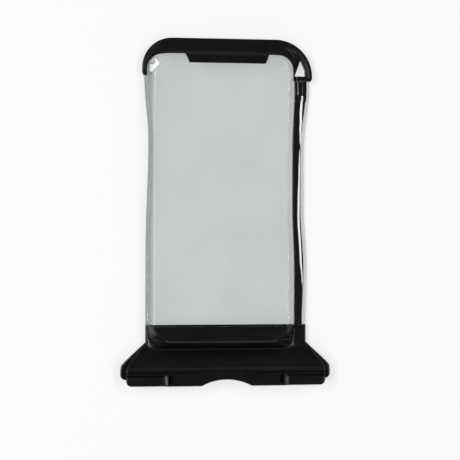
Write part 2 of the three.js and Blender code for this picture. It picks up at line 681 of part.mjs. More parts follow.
// Back lip: flat behind, thin under the collar and thick under the bar
function backLipBlock() {
  const climb = shares(FALL_STEPS / 2).map((share) => lerp(FLARE_END, LIP_DEPTH + SEAM_MARGIN, share));
  const rows = [COLLAR_LENGTH, FILM_END, ...climb, LIP_DEPTH, BACK_LIP_SETBACK];
  const front = (y) => lipHalfWidth(y, FRONT_LIP_HALF_WIDTH);
  const back = (y) => lipHalfWidth(y, BACK_LIP_HALF_WIDTH);
  const topRows = rows.map((y) => {
    const onBar = y <= LIP_DEPTH;
    const seam = y >= FLARE_END ? BACK_SKIN : Math.max(BACK_SKIN, seamHeight(y) - BOND / 2);
    const mouth = lerp(RAIL_THICKNESS, BACK_SKIN, smoothstep(y, LIP_DEPTH, FLARE_END));
    const inner = front(y) - SEAM_INSET;
    const half = y >= FLARE_END ? back(y) : Math.max(back(y), front(y) + 0.4);
    const sloped = [Math.min(seam, RAIL_THICKNESS), seam, seam, mouth];
    const heights = onBar ? sloped.map(() => RAIL_THICKNESS) : sloped;
    const places = [half, half - 0.3 - (half - front(y)) * 0.6, inner, inner - 1.5];
    const left = places.map((x, k) => new THREE.Vector3(-x, y, heights[k]));
    const right = places.map((x, k) => new THREE.Vector3(x, y, heights[k])).reverse();
    return [...left, new THREE.Vector3(0, y, heights[3]), ...right];
  });
  const bottomRows = topRows.map((row) => row.map((point) => new THREE.Vector3(point.x, point.y, 0)));
  return slab(topRows, bottomRows);
}

// Everything past a lip's two rounded outer corners
function cornerCut(halfWidth, near) {
  const radius = LIP_CORNER_RADIUS;
  const cut = (side) => {
    const shape = new THREE.Shape();
    shape.moveTo(side * (halfWidth + 1), near - 1);
    shape.lineTo(side * (halfWidth + 1), near + radius);
    shape.lineTo(side * halfWidth, near + radius);
    const start = side > 0 ? 0 : Math.PI;
    shape.absarc(side * (halfWidth - radius), near + radius, radius, start, -Math.PI / 2, side > 0);
    shape.lineTo(side * (halfWidth - radius), near - 1);
    shape.closePath();
    return prism(shape, -1, PAST_EVERYTHING, 5);
  };
  return cut(-1).add(cut(1));
}

// Thumb notch: one shallow arc through both lips
const NOTCH_RADIUS = ((NOTCH_CHORD / 2) ** 2 + NOTCH_DEPTH ** 2) / (2 * NOTCH_DEPTH);
function notchCut(margin = 0) {
  const radius = NOTCH_RADIUS + margin;
  const geometry = new THREE.CylinderGeometry(radius, radius, PAST_EVERYTHING, 96);
  geometry.rotateX(Math.PI / 2);
  return solidOf(geometry.translate(0, NOTCH_DEPTH - NOTCH_RADIUS, PAST_EVERYTHING / 2 - 1));
}

const magnetPitch = 2 * (FRONT_LIP_HALF_WIDTH - MAGNET_END_MARGIN) / MAGNETS_PER_LIP;
const magnetSpan = magnetPitch * (MAGNETS_PER_LIP - 1);
const magnetPlaces = shares(MAGNETS_PER_LIP - 1).map((share) => magnetSpan * (share - 0.5));
const MAGNET_FAR = LIP_DEPTH - MAGNET_SET_BACK - MAGNET_CLEARANCE;
const MAGNET_NEAR = MAGNET_FAR - MAGNET_WIDTH;

function magnetPockets(low, high) {
  const grow = MAGNET_CLEARANCE;
  return magnetPlaces.map((x) => {
    const half = MAGNET_LENGTH / 2 + grow;
    return box(x - half, x + half, MAGNET_NEAR - grow, MAGNET_FAR + grow, low, high);
  });
}

// Sunk finger grips at both ends of the front face, each with a deeper slot at its inner end
function gripCuts() {
  const inner = FRONT_LIP_HALF_WIDTH - GRIP_INSET;
  const outer = FRONT_LIP_HALF_WIDTH + 1;
  const slotNear = GRIP_HEIGHT - GRIP_SLOT_LENGTH;
  return [-1, 1].flatMap((side) => {
    const [a, b] = side > 0 ? [inner, outer] : [-outer, -inner];
    const slot = side > 0 ? [inner, inner + GRIP_SLOT_WIDTH] : [-inner - GRIP_SLOT_WIDTH, -inner];
    return [
      box(a, b, -1, GRIP_HEIGHT, LIP_TOP - GRIP_DEPTH, PAST_EVERYTHING),
      box(slot[0], slot[1], slotNear, GRIP_HEIGHT, LIP_TOP - GRIP_SLOT_DEPTH, PAST_EVERYTHING),
    ];
  });
}

const cutAll = (solid, cuts) => cuts.reduce((left, cut) => left.subtract(cut), solid);

function frontLip() {
  const pocketTop = FRONT_RAIL_BOTTOM + MAGNET_THICKNESS + MAGNET_RECESS;
  return cutAll(frontLipBlock(), [
    box(-POUCH_LENGTH, POUCH_LENGTH, COLLAR_LENGTH, POUCH_LENGTH, -1, PAST_EVERYTHING),
    cornerCut(FRONT_LIP_HALF_WIDTH, 0),
    notchCut(),
    ...gripCuts(),
    ...magnetPockets(FRONT_RAIL_BOTTOM - 1, pocketTop),
  ]);
}

function backLip() {
  const pocketBottom = RAIL_THICKNESS - MAGNET_THICKNESS - MAGNET_RECESS;
  return cutAll(backLipBlock(), [
    cornerCut(BACK_LIP_HALF_WIDTH, BACK_LIP_SETBACK),
    notchCut(),
    ...magnetPockets(pocketBottom, RAIL_THICKNESS + 1),
  ]);
}

// Soft strip that covers a lip's magnets and meets its twin to seal the mouth
function sealStrip(near, low) {
  const half = FRONT_LIP_HALF_WIDTH - STRIP_INSET;
  const strip = box(-half, half, near + STRIP_INSET, LIP_DEPTH - BOND, low, low + STRIP_THICKNESS);
  return strip.subtract(notchCut(STRIP_INSET));
}

function magnet(x, low) {
  const half = MAGNET_LENGTH / 2;
  return box(x - half, x + half, MAGNET_NEAR, MAGNET_FAR, low, low + MAGNET_THICKNESS);
}

// Materials
const clearFilm = new THREE.MeshStandardMaterial({
  color: 0xe6eaea, roughness: 0.12, metalness: 0, transparent: true, opacity: 0.35,
});
const blackGloss = new THREE.MeshStandardMaterial({ color: 0x17181a, roughness: 0.28, metalness: 0 });
const blackSatin = new THREE.MeshStandardMaterial({ color: 0x1a1b1c, roughness: 0.45, metalness: 0 });
const sealRubber = new THREE.MeshStandardMaterial({ color: 0x242526, roughness: 0.6, metalness: 0 });
const magnetSteel = new THREE.MeshStandardMaterial({ color: 0xb4b6b8, roughness: 0.3, metalness: 1 });

const pouch = new THREE.Group();
pouch.position.y = -POUCH_LENGTH / 2;

function place(name, solid, material) {
  const mesh = new THREE.Mesh(geometryOf(solid), material);
  mesh.name = name;
  pouch.add(mesh);
}

place('front_window', frontFilm().subtract(lanyardCut()), clearFilm);
place('back_sheet', prism(filmShape(), BACK_SKIN, FILM_BOTTOM).subtract(lanyardCut()), clearFilm);
place('end_cap', endCap(), blackGloss);
place('side_welt', sideWelt(), blackGloss);
place('front_lip', frontLip(), blackSatin);
place('back_lip', backLip(), blackSatin);
place('front_seal_strip', sealStrip(0, STRIP_MEET), sealRubber);
place('back_seal_strip', sealStrip(BACK_LIP_SETBACK, RAIL_THICKNESS), sealRubber);
magnetPlaces.forEach((x, k) => {
  place(`front_magnet_${k + 1}`, magnet(x, FRONT_RAIL_BOTTOM + MAGNET_RECESS), magnetSteel);
  place(`back_magnet_${k + 1}`, magnet(x, RAIL_THICKNESS - MAGNET_RECESS - MAGNET_THICKNESS), magnetSteel);
});

export default pouch;
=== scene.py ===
import math

import bmesh
import bpy
import numpy as np
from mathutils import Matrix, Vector
from mathutils.bvhtree import BVHTree


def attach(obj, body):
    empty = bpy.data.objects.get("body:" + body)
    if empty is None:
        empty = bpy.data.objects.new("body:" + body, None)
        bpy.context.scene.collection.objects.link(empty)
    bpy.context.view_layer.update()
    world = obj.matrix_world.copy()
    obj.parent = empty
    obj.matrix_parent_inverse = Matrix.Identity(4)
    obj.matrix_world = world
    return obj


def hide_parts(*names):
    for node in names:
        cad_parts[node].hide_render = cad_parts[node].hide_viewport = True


# Waterproof phone pouch, seen from above. The shapes are worked out in millimetres, with y from
# the mouth edge of the front lip to the top of the end cap, and are turned into metres at the end.

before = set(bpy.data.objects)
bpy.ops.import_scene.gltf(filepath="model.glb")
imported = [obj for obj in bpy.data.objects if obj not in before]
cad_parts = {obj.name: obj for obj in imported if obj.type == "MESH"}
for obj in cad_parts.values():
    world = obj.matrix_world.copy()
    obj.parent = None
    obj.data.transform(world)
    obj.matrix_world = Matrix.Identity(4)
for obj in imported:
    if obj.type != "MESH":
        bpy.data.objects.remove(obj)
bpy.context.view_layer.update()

MERGE_DISTANCE = 2e-6  # in metres

# Angles above which an edge stays hard, in degrees
PLAIN_SMOOTH = 35
FILM_SMOOTH = 60
CAP_SMOOTH = 40
WELT_SMOOTH = 12
LIP_SMOOTH = 38

# Sizes of the films: their layers, their outline with its waist and ends, and the raised room
LENGTH = 195.7
FILM = 0.4
BACK_SKIN = 0.8
SKIN = 0.8
BOND = 0.3
FILM_BOTTOM = BACK_SKIN + FILM
FLANGE_TOP = FILM_BOTTOM + FILM
ROOM_HEIGHT = 8.5
WAIST_HALF = 44.1
WAIST_Y = 137.0
SHOULDER_Y = 174.0
FOOT_Y = 76.0
SHOULDER_FLARE = 2.4
FOOT_FLARE = 1.5
WELT_WAIST = 44.6
WELT_WAIST_UPPER = 134.0
WELT_WAIST_LOWER = 100.0
WELT_SHOULDER_Y = 168.0
WELT_FOOT_Y = 66.0
WELT_SHOULDER_FLARE = 3.1
WELT_FOOT_FLARE = 1.8
FILM_TOP = 194.5
FILM_CORNER = 15.8
FILM_RIGHT_CORNER = 19.8
FILM_END = 26.0
FLANGE = 1.3
ROOM_START = 25.5
ROOM_CORNER = 11.0
ROOM_UPPER = 183.0
ROOM_LEFT = -40.6
ROOM_RIGHT = 34.85
WELT_GAP = 0.2
TOP_RUN = 8.5
LEFT_FOOT_RADIUS = 13.5
RIGHT_FOOT_RADIUS = 9.5

# Sizes of the end cap with its windows, tab, arms and lanyard hole
RIM_WALL = 1.2
RIM_HEIGHT = 4.0
CAP_TOP = FILM_TOP + RIM_WALL
WINDOW_TOP = 186.0
BACK_WINDOW_TOP_EXTRA = 2.0
BACK_WINDOW_SIDE_EXTRA = 0.6
BAND_SHOULDER = 0.2
HOLE_WIDTH = 6.2
HOLE_HEIGHT = 9.8
HOLE_LEG = 0.8
HOLE_ABOVE_WELT = 2.8
HOLE_ROUND = 0.6
LEFT_GRIP = 1.5
WINDOW_RADIUS = 8.5
WINDOW_LEFT_RADIUS = 8.0
TAB_TOP_HALF = 23.6
TAB_END_HALF = 21.4
TAB_LENGTH = 5.5
LEFT_ARM_END = 174.7
RIGHT_ARM_END = 172.5
DEEPEST_WINDOW = 18.0
WINDOW_STEP = 0.25
CROWN_STEP = 0.1
CROWN_RISE = 1.3
CROWN_RUN = 6.2
CROWN_REACH = 7.4
GROOVE_AT = 1.5
GROOVE_WIDTH = 0.35
GROOVE_DEPTH = 0.22
CROWN_LINE_AT = 6.4
CROWN_LINE_WIDTH = 0.4
CROWN_LINE_DEPTH = 0.1
BAND_START = (0.2, 1.2)
BAND_END = (6.9, 8.3)
BEAD_REACH = 2.0
BEAD_FALL = 0.35
RIB_HEIGHT = 0.07
RIB_PITCH = 0.85

# Sizes of the side welt
WELT_INNER = 38.8
WELT_DRAW_IN = 1.1
WELT_FLANGE = 2.1
WELT_TOP = 172.2
WELT_HEAD = 10.0
HOLE_LEFT = WELT_INNER + 0.1

# Sizes of the two lips
COLLAR_LENGTH = 33.5
LIP_DEPTH = 10.8
FLARE_END = 23.8
LIP_TOP = 9.4
RAIL = 3.9
FRONT_LIP_BOTTOM = 5.5
FRONT_LIP_HALF = 56.0
BACK_LIP_HALF = 59.5
BACK_SETBACK = 3.0
NOTCH_RADIUS = 29.02
NOTCH_CENTRE = -25.42
LIP_CORNER = 3
VALLEY = 19.0
RIDGE_HEIGHT = 0.4
RIDGE_WIDTH = 1.1
BAR_SHOULDER_WIDTH = 1.6
BAR_SHOULDER_DEPTH = 0.35
SIDE_SEAM = 4.7
CREASE_LOW = 7.2
CREASE_HIGH = 8.0
CREASE_DEPTH = 0.22
# Distance from the middle line beyond which the crease gets the painted shade
CREASE_PAINTED_SHADE_FROM = 15
NOTCH_REACH = 7.1
BACK_NOTCH_REACH = 10
SEAM_INSET = 1.8
SIDE_WALL_SHARE = 0.955
MAGNET_PITCH = 18.0
POCKET_HALF = 6.3
POCKET_NEAR = 5.1
POCKET_FAR = 10.1
POCKET_DEPTH = 2.4
GRIP_WALL = 6.0
GRIP_RAMP = 32.75
GRIP_RUN = 3.4
GRIP_DEPTH = 0.9
GRIP_CORNER_DEPTH = 0.3
SLOT_INNER = 30.2
SLOT_OUTER = 32.3
SLOT_WALL = 0.3
SLOT_DEPTH = 1.4


def clamp(value, low, high):
    return max(low, min(high, value))


def lerp(a, b, t):
    return a + (b - a) * t


def smoothstep(value, low, high):
    t = clamp((value - low) / (high - low), 0.0, 1.0)
    return t * t * (3 - 2 * t)


def smooth_max(a, b, width):
    share = clamp(0.5 + 0.5 * (a - b) / width, 0.0, 1.0)
    return lerp(b, a, share) + width * share * (1 - share)


def bell(value, middle, width, height):
    return height * math.exp(-(((value - middle) / width) ** 2))


def edge_drop(from_edge, run, depth):
    """How far a rounded edge lies below the face that it ends."""
    return depth * (1 - smoothstep(from_edge, 0, run)) ** 2


def wave(x, y, seed):
    """Soft uneven surface, from -1 to 1, the same on each run."""
    total = 0.0
    for k in range(5):
        turn = seed * 1.7 + k * 2.4
        scale = 0.045 * 1.45**k
        along = x * math.cos(turn) + y * math.sin(turn)
        total += math.sin(along * scale * 2.2 + seed * 3.1 + k) / 1.3**k
    return total / 3.2


def film_half(y):
    """Half width of the films on the left, with a waist between the shoulder and the foot."""
    foot = smoothstep(WAIST_Y - y, 0, WAIST_Y - FOOT_Y)
    shoulder = smoothstep(y - WAIST_Y, 0, SHOULDER_Y - WAIST_Y)
    return WAIST_HALF + FOOT_FLARE * foot + SHOULDER_FLARE * shoulder


def welt_shoulder(y):
    return smoothstep(y, WELT_WAIST_UPPER, WELT_SHOULDER_Y)


def welt_foot(y):
    return 1 - smoothstep(y, WELT_FOOT_Y, WELT_WAIST_LOWER)


def film_right(y):
    """Right edge of the films, which has a longer waist and broader ends than the left edge."""
    beside = WELT_WAIST + WELT_SHOULDER_FLARE * welt_shoulder(y) + WELT_FOOT_FLARE * welt_foot(y)
    return lerp(film_half(y), beside, smoothstep(y, COLLAR_LENGTH, WELT_FOOT_Y))


def welt_inner(y):
    return WELT_INNER - WELT_DRAW_IN * (1 - welt_shoulder(y)) * (1 - welt_foot(y))


def room_inset(y):
    """How far the room's rounded lower corners draw in."""
    below = clamp(ROOM_START + ROOM_CORNER - y, 0, ROOM_CORNER)
    return ROOM_CORNER - math.sqrt(ROOM_CORNER**2 - below**2)


def arch(left, right, top, left_radius, right_radius):
    """An outline up the left side, over the top and down the right side."""
    left_top = top - left_radius
    right_top = top - right_radius
    left_centre = left(left_top) + left_radius
    right_centre = right(right_top) - right_radius

    def at(leg, t):
        turn = t * math.pi / 2
        if leg == "left":
            y = lerp(FILM_END, left_top, t)
            return Vector((left(y), y))
        if leg == "left corner":
            x = left_centre - left_radius * math.cos(turn)
            return Vector((x, left_top + left_radius * math.sin(turn)))
        if leg == "top":
            return Vector((lerp(left_centre, right_centre, t), top))
        if leg == "right corner":
            x = right_centre + right_radius * math.sin(turn)
            return Vector((x, right_top + right_radius * math.cos(turn)))
        y = lerp(right_top, FILM_END, t)
        return Vector((right(y), y))

    return at


# The films' edge, the foot of the slope round the raised room and the crest of that slope
film_edge = arch(lambda y: -film_half(y), film_right, FILM_TOP, FILM_CORNER, FILM_RIGHT_CORNER)
slope_foot = arch(
    lambda y: -(film_half(y) - FLANGE),
    lambda y: welt_inner(y) - WELT_GAP,
    ROOM_UPPER + TOP_RUN,
    LEFT_FOOT_RADIUS,
    RIGHT_FOOT_RADIUS,
)
slope_crest = arch(
    lambda y: ROOM_LEFT + room_inset(y),
    lambda y: ROOM_RIGHT - room_inset(y),
    ROOM_UPPER,
    ROOM_CORNER,
    ROOM_CORNER,
)

# Stations along the films' outline, each a leg and a place on it. They lie closest together
# under the collar, at the upper ends of the sides and round the left corner.
SIDE_TIMES = [k / 300 for k in range(0, 30, 2)] + [0.1 + 0.84 * k / 75 for k in range(75)]
SIDE_TIMES += [0.94 + 0.06 * k / 20 for k in range(21)]
STATIONS = (
    [("left", t) for t in SIDE_TIMES]
    + [("left corner", k / 64) for k in range(1, 65)]
    + [("top", k / 44) for k in range(1, 45)]
    + [("right corner", k / 26) for k in range(1, 27)]
    + [("right", 1 - t) for t in reversed(SIDE_TIMES[:-1])]
)

# Outline in plan of the facet that is crumpled into the room's upper left corner, how high and
# steep it lies, and its dimple
CRUMPLE = (
    (-42.4, 183.6),
    (-40.2, 184.2),
    (-37.2, 181.0),
    (-40.0, 177.2),
    (-42.6, 174.8),
    (-44.4, 176.8),
    (-43.8, 181.2),
)
CRUMPLE_HEIGHT = 5.3
CRUMPLE_MIDDLE_X = -40.8
CRUMPLE_TILT = math.tan(math.radians(20))
CRUMPLE_EDGE = 0.35
DIMPLE_PLACE = (-42.3, 181.7)
DIMPLE_HALF = (2, 1.3)
DIMPLE_DEPTH = 0.35

# Columns of the film, as shares of the flange, of the slope and of the way to the middle line
FLANGE_SHARES = (0.35, 0.7)
SLOPE_SHARES = [k / 26 for k in range(27)]
ROOM_SHARES = (0.02, 0.06, 0.12, 0.2, 0.3, 0.42, 0.55, 0.7, 0.85, 1.0)
SPINE_X = (ROOM_LEFT + ROOM_RIGHT) / 2
SPINE_TOP = 160.0

# The film's waves: their height, where they set in and end along the pouch, and where they end
# beside the welt
WAVES_HEIGHT = 0.16
WAVES_START = (33, 44)
WAVES_END = (168, 180)
WAVES_RIGHT = (30, 36)


def rise(share):
    """Profile of the room's slope, steepest at its middle."""
    return 0.5 * (share + share * share * (3 - 2 * share))


def make_mesh(name, verts, faces, smooth_angle=PLAIN_SMOOTH):
    """A mesh object from points in millimetres, with faces outward and hard edges kept sharp."""
    mesh = bpy.data.meshes.new(name)
    placed = [(v[0] / 1000, (v[1] - LENGTH / 2) / 1000, v[2] / 1000) for v in verts]
    mesh.from_pydata(placed, [], faces)
    mesh.update()
    work = bmesh.new()
    work.from_mesh(mesh)
    bmesh.ops.remove_doubles(work, verts=work.verts, dist=MERGE_DISTANCE)
    bmesh.ops.dissolve_degenerate(work, edges=work.edges, dist=MERGE_DISTANCE / 2)
    bmesh.ops.recalc_face_normals(work, faces=work.faces)
    work.to_mesh(mesh)
    work.free()
    piece = bpy.data.objects.new(name, mesh)
    bpy.context.scene.collection.objects.link(piece)
    shade(piece, smooth_angle)
    return piece


def shade(piece, smooth_angle):
    """Smooth shading, but hard across edges that are open or turn by more than the angle."""
    work = bmesh.new()
    work.from_mesh(piece.data)
    limit = math.radians(smooth_angle)
    for face in work.faces:
        face.smooth = True
    for edge in work.edges:
        edge.smooth = len(edge.link_faces) == 2 and edge.calc_face_angle(0) < limit
    work.to_mesh(piece.data)
    work.free()


def cut(piece, cutter, smooth_angle):
    """Takes the cutter's solid out of the piece."""
    step = piece.modifiers.new("cut", "BOOLEAN")
    step.operation = "DIFFERENCE"
    step.solver = "EXACT"
    step.object = cutter
    apply_steps(piece)
    bpy.data.objects.remove(cutter, do_unlink=True)
    work = bmesh.new()
    work.from_mesh(piece.data)
    bmesh.ops.dissolve_degenerate(work, edges=work.edges, dist=MERGE_DISTANCE)
    bmesh.ops.dissolve_verts(work, verts=[v for v in work.verts if len(v.link_edges) == 2])
    work.to_mesh(piece.data)
    work.free()
    shade(piece, smooth_angle)


def apply_steps(piece):
    """Turns the piece's modifiers into plain mesh."""
    held = bpy.context.evaluated_depsgraph_get()
    mesh = bpy.data.meshes.new_from_object(piece.evaluated_get(held))
    piece.modifiers.clear()
    piece.data = mesh


def prism(name, outline, low, high):
    """A closed solid: an outline in plan, raised from one height to another."""
    count = len(outline)
    verts = [(x, y, low) for x, y in outline] + [(x, y, high) for x, y in outline]
    faces = [tuple(range(count))[::-1], tuple(range(count, 2 * count))]
    faces += [(k, (k + 1) % count, (k + 1) % count + count, k + count) for k in range(count)]
    return make_mesh(name, verts, faces)


def loft_faces(rows, count):
    """Faces of a closed solid through rings of points, with an end face on each side."""
    faces = []
    for row in range(rows - 1):
        for k in range(count):
            a = row * count + k
            b = row * count + (k + 1) % count
            faces.append((a, b, b + count, a + count))
    faces.append(tuple(range(count)))
    faces.append(tuple(range((rows - 1) * count, rows * count)))
    return faces


def sheet_faces(rows, count, start=0):
    """Faces of an open sheet through rows of points, the first of which has the number start."""
    faces = []
    for row in range(rows - 1):
        for k in range(count - 1):
            a = start + row * count + k
            faces.append((a, a + 1, a + 1 + count, a + count))
    return faces


def slab(name, top, bottom, smooth_angle):
    """A closed solid between two sheets that have the same rows and columns."""
    rows, count = len(top), len(top[0])
    verts = [p for row in top for p in row] + [p for row in bottom for p in row]
    half = rows * count
    faces = sheet_faces(rows, count) + sheet_faces(rows, count, half)
    rim = list(range(count))
    rim += [row * count + count - 1 for row in range(1, rows)]
    rim += [(rows - 1) * count + k for k in range(count - 2, -1, -1)]
    rim += [row * count for row in range(rows - 2, 0, -1)]
    for k, a in enumerate(rim):
        b = rim[(k + 1) % len(rim)]
        faces.append((a, b, b + half, a + half))
    return make_mesh(name, verts, faces, smooth_angle)


# The front film's surface


def film_rows(offset, flat):
    """Sections of the film from its edge, up the slope and over the room to the middle line.

    The offset is the distance of the rows from the film's upper face, square to the slope.
    """
    rows = []
    for leg, t in STATIONS:
        edge, foot, crest = film_edge(leg, t), slope_foot(leg, t), slope_crest(leg, t)
        plan = [edge] + [edge.lerp(foot, share) for share in FLANGE_SHARES]
        heights = [0.0] * len(plan)
        for share in SLOPE_SHARES:
            plan.append(foot.lerp(crest, share))
            heights.append(0.0 if flat else ROOM_HEIGHT * rise(share))
        spine_y = min(crest.y, SPINE_TOP) if leg in ("left", "right") else SPINE_TOP
        spine = Vector((SPINE_X, spine_y))
        for share in ROOM_SHARES:
            plan.append(crest.lerp(spine, share))
            heights.append(0.0 if flat else ROOM_HEIGHT)
        reach = [0.0]
        for k in range(1, len(plan)):
            reach.append(reach[-1] + (plan[k] - plan[k - 1]).length)
        row = []
        for k, point in enumerate(plan):
            shift = Vector((0.0, 0.0))
            lift = offset
            if len(FLANGE_SHARES) < k < len(plan) - len(ROOM_SHARES) and offset and not flat:
                run = reach[k + 1] - reach[k - 1]
                up = heights[k + 1] - heights[k - 1]
                long = math.hypot(run, up)
                along = (plan[k + 1] - plan[k - 1]).normalized()
                shift = along * (-up / long * offset)
                lift = run / long * offset
            row.append((point.x + shift.x, point.y + shift.y, FLANGE_TOP + heights[k] + lift))
        rows.append(row)
    return rows


def crumple(x, y, height):
    """Flattens a patch of the room's upper left corner to a facet with a shallow dimple."""
    inside = math.inf
    for k, (ax, ay) in enumerate(CRUMPLE):
        bx, by = CRUMPLE[(k + 1) % len(CRUMPLE)]
        beside = (by - ay) * (x - ax) - (bx - ax) * (y - ay)
        inside = min(inside, beside / math.hypot(bx - ax, by - ay))
    facet = CRUMPLE_HEIGHT + CRUMPLE_TILT * (x - CRUMPLE_MIDDLE_X)
    dimple_x = (x - DIMPLE_PLACE[0]) / DIMPLE_HALF[0]
    dimple_y = (y - DIMPLE_PLACE[1]) / DIMPLE_HALF[1]
    facet -= DIMPLE_DEPTH * max(0.0, 1 - dimple_x**2 - dimple_y**2)
    return lerp(height, facet, smoothstep(inside, 0, CRUMPLE_EDGE))


def waved(rows):
    """Adds the crumpled facet and the film's soft waves, none under the cap and the collar."""
    result = []
    for row in rows:
        new = []
        for x, y, z in row:
            share = smoothstep(y, *WAVES_START) * (1 - smoothstep(y, *WAVES_END))
            share *= 1 - smoothstep(x, *WAVES_RIGHT)
            new.append((x, y, crumple(x, y, z + WAVES_HEIGHT * share * wave(x, y, 1.0))))
        result.append(new)
    return result


def film_piece(name, rows):
    """A film of even thickness under a sheet of points."""
    verts = [p for row in rows for p in row]
    piece = make_mesh(name, verts, sheet_faces(len(rows), len(rows[0])), FILM_SMOOTH)
    if sum(p.normal.z for p in piece.data.polygons) < 0:
        piece.data.flip_normals()
    step = piece.modifiers.new("film", "SOLIDIFY")
    step.thickness = FILM / 1000
    step.offset = -1
    apply_steps(piece)
    shade(piece, FILM_SMOOTH)
    return piece


def lanyard_outline():
    """Triangle with small round corners and an upright foot on its right."""
    base = WELT_TOP + HOLE_ABOVE_WELT
    right = HOLE_LEFT + HOLE_WIDTH
    corners = [
        Vector((HOLE_LEFT, base)),
        Vector((right, base)),
        Vector((right - 0.3, base + 4)),
        Vector((HOLE_LEFT + HOLE_WIDTH * 0.55, base + HOLE_HEIGHT)),
    ]
    outline = []
    for k, corner in enumerate(corners):
        before = corner + (corners[k - 1] - corner).normalized() * HOLE_ROUND
        after = corner + (corners[(k + 1) % 4] - corner).normalized() * HOLE_ROUND
        for step in range(6):
            t = step / 5
            outline.append(tuple(before.lerp(corner, t).lerp(corner.lerp(after, t), t)))
    return outline


def cut_lanyard_hole(piece, smooth_angle):
    """Cuts the hole through the whole thickness of a piece."""
    cut(piece, prism("hole", lanyard_outline(), -1, 20), smooth_angle)


def surface(rows):
    """Looks up the height of a sheet of points at any place in plan."""
    verts = [p for row in rows for p in row]
    tree = BVHTree.FromPolygons(verts, sheet_faces(len(rows), len(rows[0])))

    def height(x, y):
        hit = tree.ray_cast(Vector((x, y, 50.0)), Vector((0, 0, -1)))
        return hit[0].z if hit[0] is not None else None

    return height


front_film = film_piece("front_film", waved(film_rows(0.0, flat=False)))
back_rows = film_rows(0.0, flat=True)
back_film = film_piece("back_film", [[(x, y, FILM_BOTTOM) for x, y, z in row] for row in back_rows])
skin_over = surface(film_rows(BOND + SKIN, flat=False))
skin_under = surface(film_rows(BOND, flat=False))


def skin_height(x, y, look_up, offset):
    """Height of a moulded skin's face over the film, level beyond the film's edge."""
    height = look_up(x, y)
    return FLANGE_TOP + offset if height is None else height


# End cap

LEFT_CORNER = Vector((FILM_CORNER - film_half(FILM_TOP - FILM_CORNER), FILM_TOP - FILM_CORNER))
RIGHT_CORNER = Vector(
    (film_right(FILM_TOP - FILM_RIGHT_CORNER) - FILM_RIGHT_CORNER, FILM_TOP - FILM_RIGHT_CORNER)
)
LEFT_WINDOW_X = -(film_half(SHOULDER_Y) - LEFT_GRIP)
RIGHT_WINDOW_X = HOLE_LEFT - HOLE_LEG

# Section lines along each stretch of the cap, and points across its rim
LEFT_ARM_STEPS = 13
CORNER_STEPS = 150
TOP_STEPS = 220
RIGHT_ARM_STEPS = 16
RIM_STEPS = (0.12, 0.3, 0.55, 0.85, 1.2, 1.5, 1.8, 2.1, 2.5, 2.7, 2.9, 3.3)


def inside_window(x, y, on_front):
    """True where one face of the cap leaves the film bare."""
    top = WINDOW_TOP + (0.0 if on_front else BACK_WINDOW_TOP_EXTRA)
    right = RIGHT_WINDOW_X + (0.0 if on_front else BACK_WINDOW_SIDE_EXTRA)
    if y > top or x < LEFT_WINDOW_X or x > right:
        return False
    left_x = LEFT_WINDOW_X + WINDOW_LEFT_RADIUS
    left_y = top - WINDOW_LEFT_RADIUS
    if x < left_x and y > left_y and math.hypot(x - left_x, y - left_y) > WINDOW_LEFT_RADIUS:
        return False
    right_x = right - WINDOW_RADIUS
    right_y = top - WINDOW_RADIUS
    if x > right_x and y > right_y and math.hypot(x - right_x, y - right_y) > WINDOW_RADIUS:
        return False
    if on_front and y > WINDOW_TOP - TAB_LENGTH:
        half = lerp(TAB_TOP_HALF, TAB_END_HALF, (WINDOW_TOP - y) / TAB_LENGTH)
        return abs(x) > half
    return True


def window_reach(outer, inward, on_front):
    """Distance from the cap's outer edge to its window, along one section line."""
    near, far = 0.0, 0.0
    while far < DEEPEST_WINDOW:
        far += WINDOW_STEP
        if inside_window(*(outer + inward * far), on_front):
            break
        near = far
    for _ in range(12):
        middle = (near + far) / 2
        if inside_window(*(outer + inward * middle), on_front):
            far = middle
        else:
            near = middle
    return near


def arm_size(y, arm_end):
    """Size of the rim along one arm of the cap, which thins at its end."""
    return lerp(0.3, 1.0, smoothstep(y - arm_end, -0.3, 2))


def cap_places():
    """Section lines of the cap, from the left arm's end over the top to the right arm's end.

    Each has its outer point, its inward direction, the size of the rim, the share of the raised
    band and the share of the corner's ribs.
    """
    places = []
    for k in range(LEFT_ARM_STEPS + 1):
        y = lerp(LEFT_ARM_END, LEFT_CORNER.y, k / LEFT_ARM_STEPS)
        outer = Vector((-film_half(y) - RIM_WALL, y))
        places.append((outer, Vector((1, 0)), arm_size(y, LEFT_ARM_END), 0.0, 0.6))
    for k in range(1, CORNER_STEPS):
        share = k / CORNER_STEPS
        turn = share * math.pi / 2
        out = Vector((-math.cos(turn), math.sin(turn)))
        outer = LEFT_CORNER + out * (FILM_CORNER + RIM_WALL)
        places.append((outer, -out, 1.0, smoothstep(share, 0.2, 1), math.sin(share * math.pi)))
    for k in range(TOP_STEPS + 1):
        x = lerp(LEFT_CORNER.x, RIGHT_CORNER.x, k / TOP_STEPS)
        places.append((Vector((x, CAP_TOP)), Vector((0, -1)), 1.0, 1.0, 0.0))
    for k in range(1, CORNER_STEPS):
        share = k / CORNER_STEPS
        turn = share * math.pi / 2
        out = Vector((math.sin(turn), math.cos(turn)))
        outer = RIGHT_CORNER + out * (FILM_RIGHT_CORNER + RIM_WALL)
        band = lerp(1, BAND_SHOULDER, smoothstep(share, 0, 0.8))
        places.append((outer, -out, 1.0, band, math.sin(share * math.pi)))
    for k in range(RIGHT_ARM_STEPS + 1):
        y = lerp(RIGHT_CORNER.y, RIGHT_ARM_END, k / RIGHT_ARM_STEPS)
        outer = Vector((film_right(y) + RIM_WALL, y))
        places.append((outer, Vector((-1, 0)), arm_size(y, RIGHT_ARM_END), BAND_SHOULDER, 0.6))
    return places


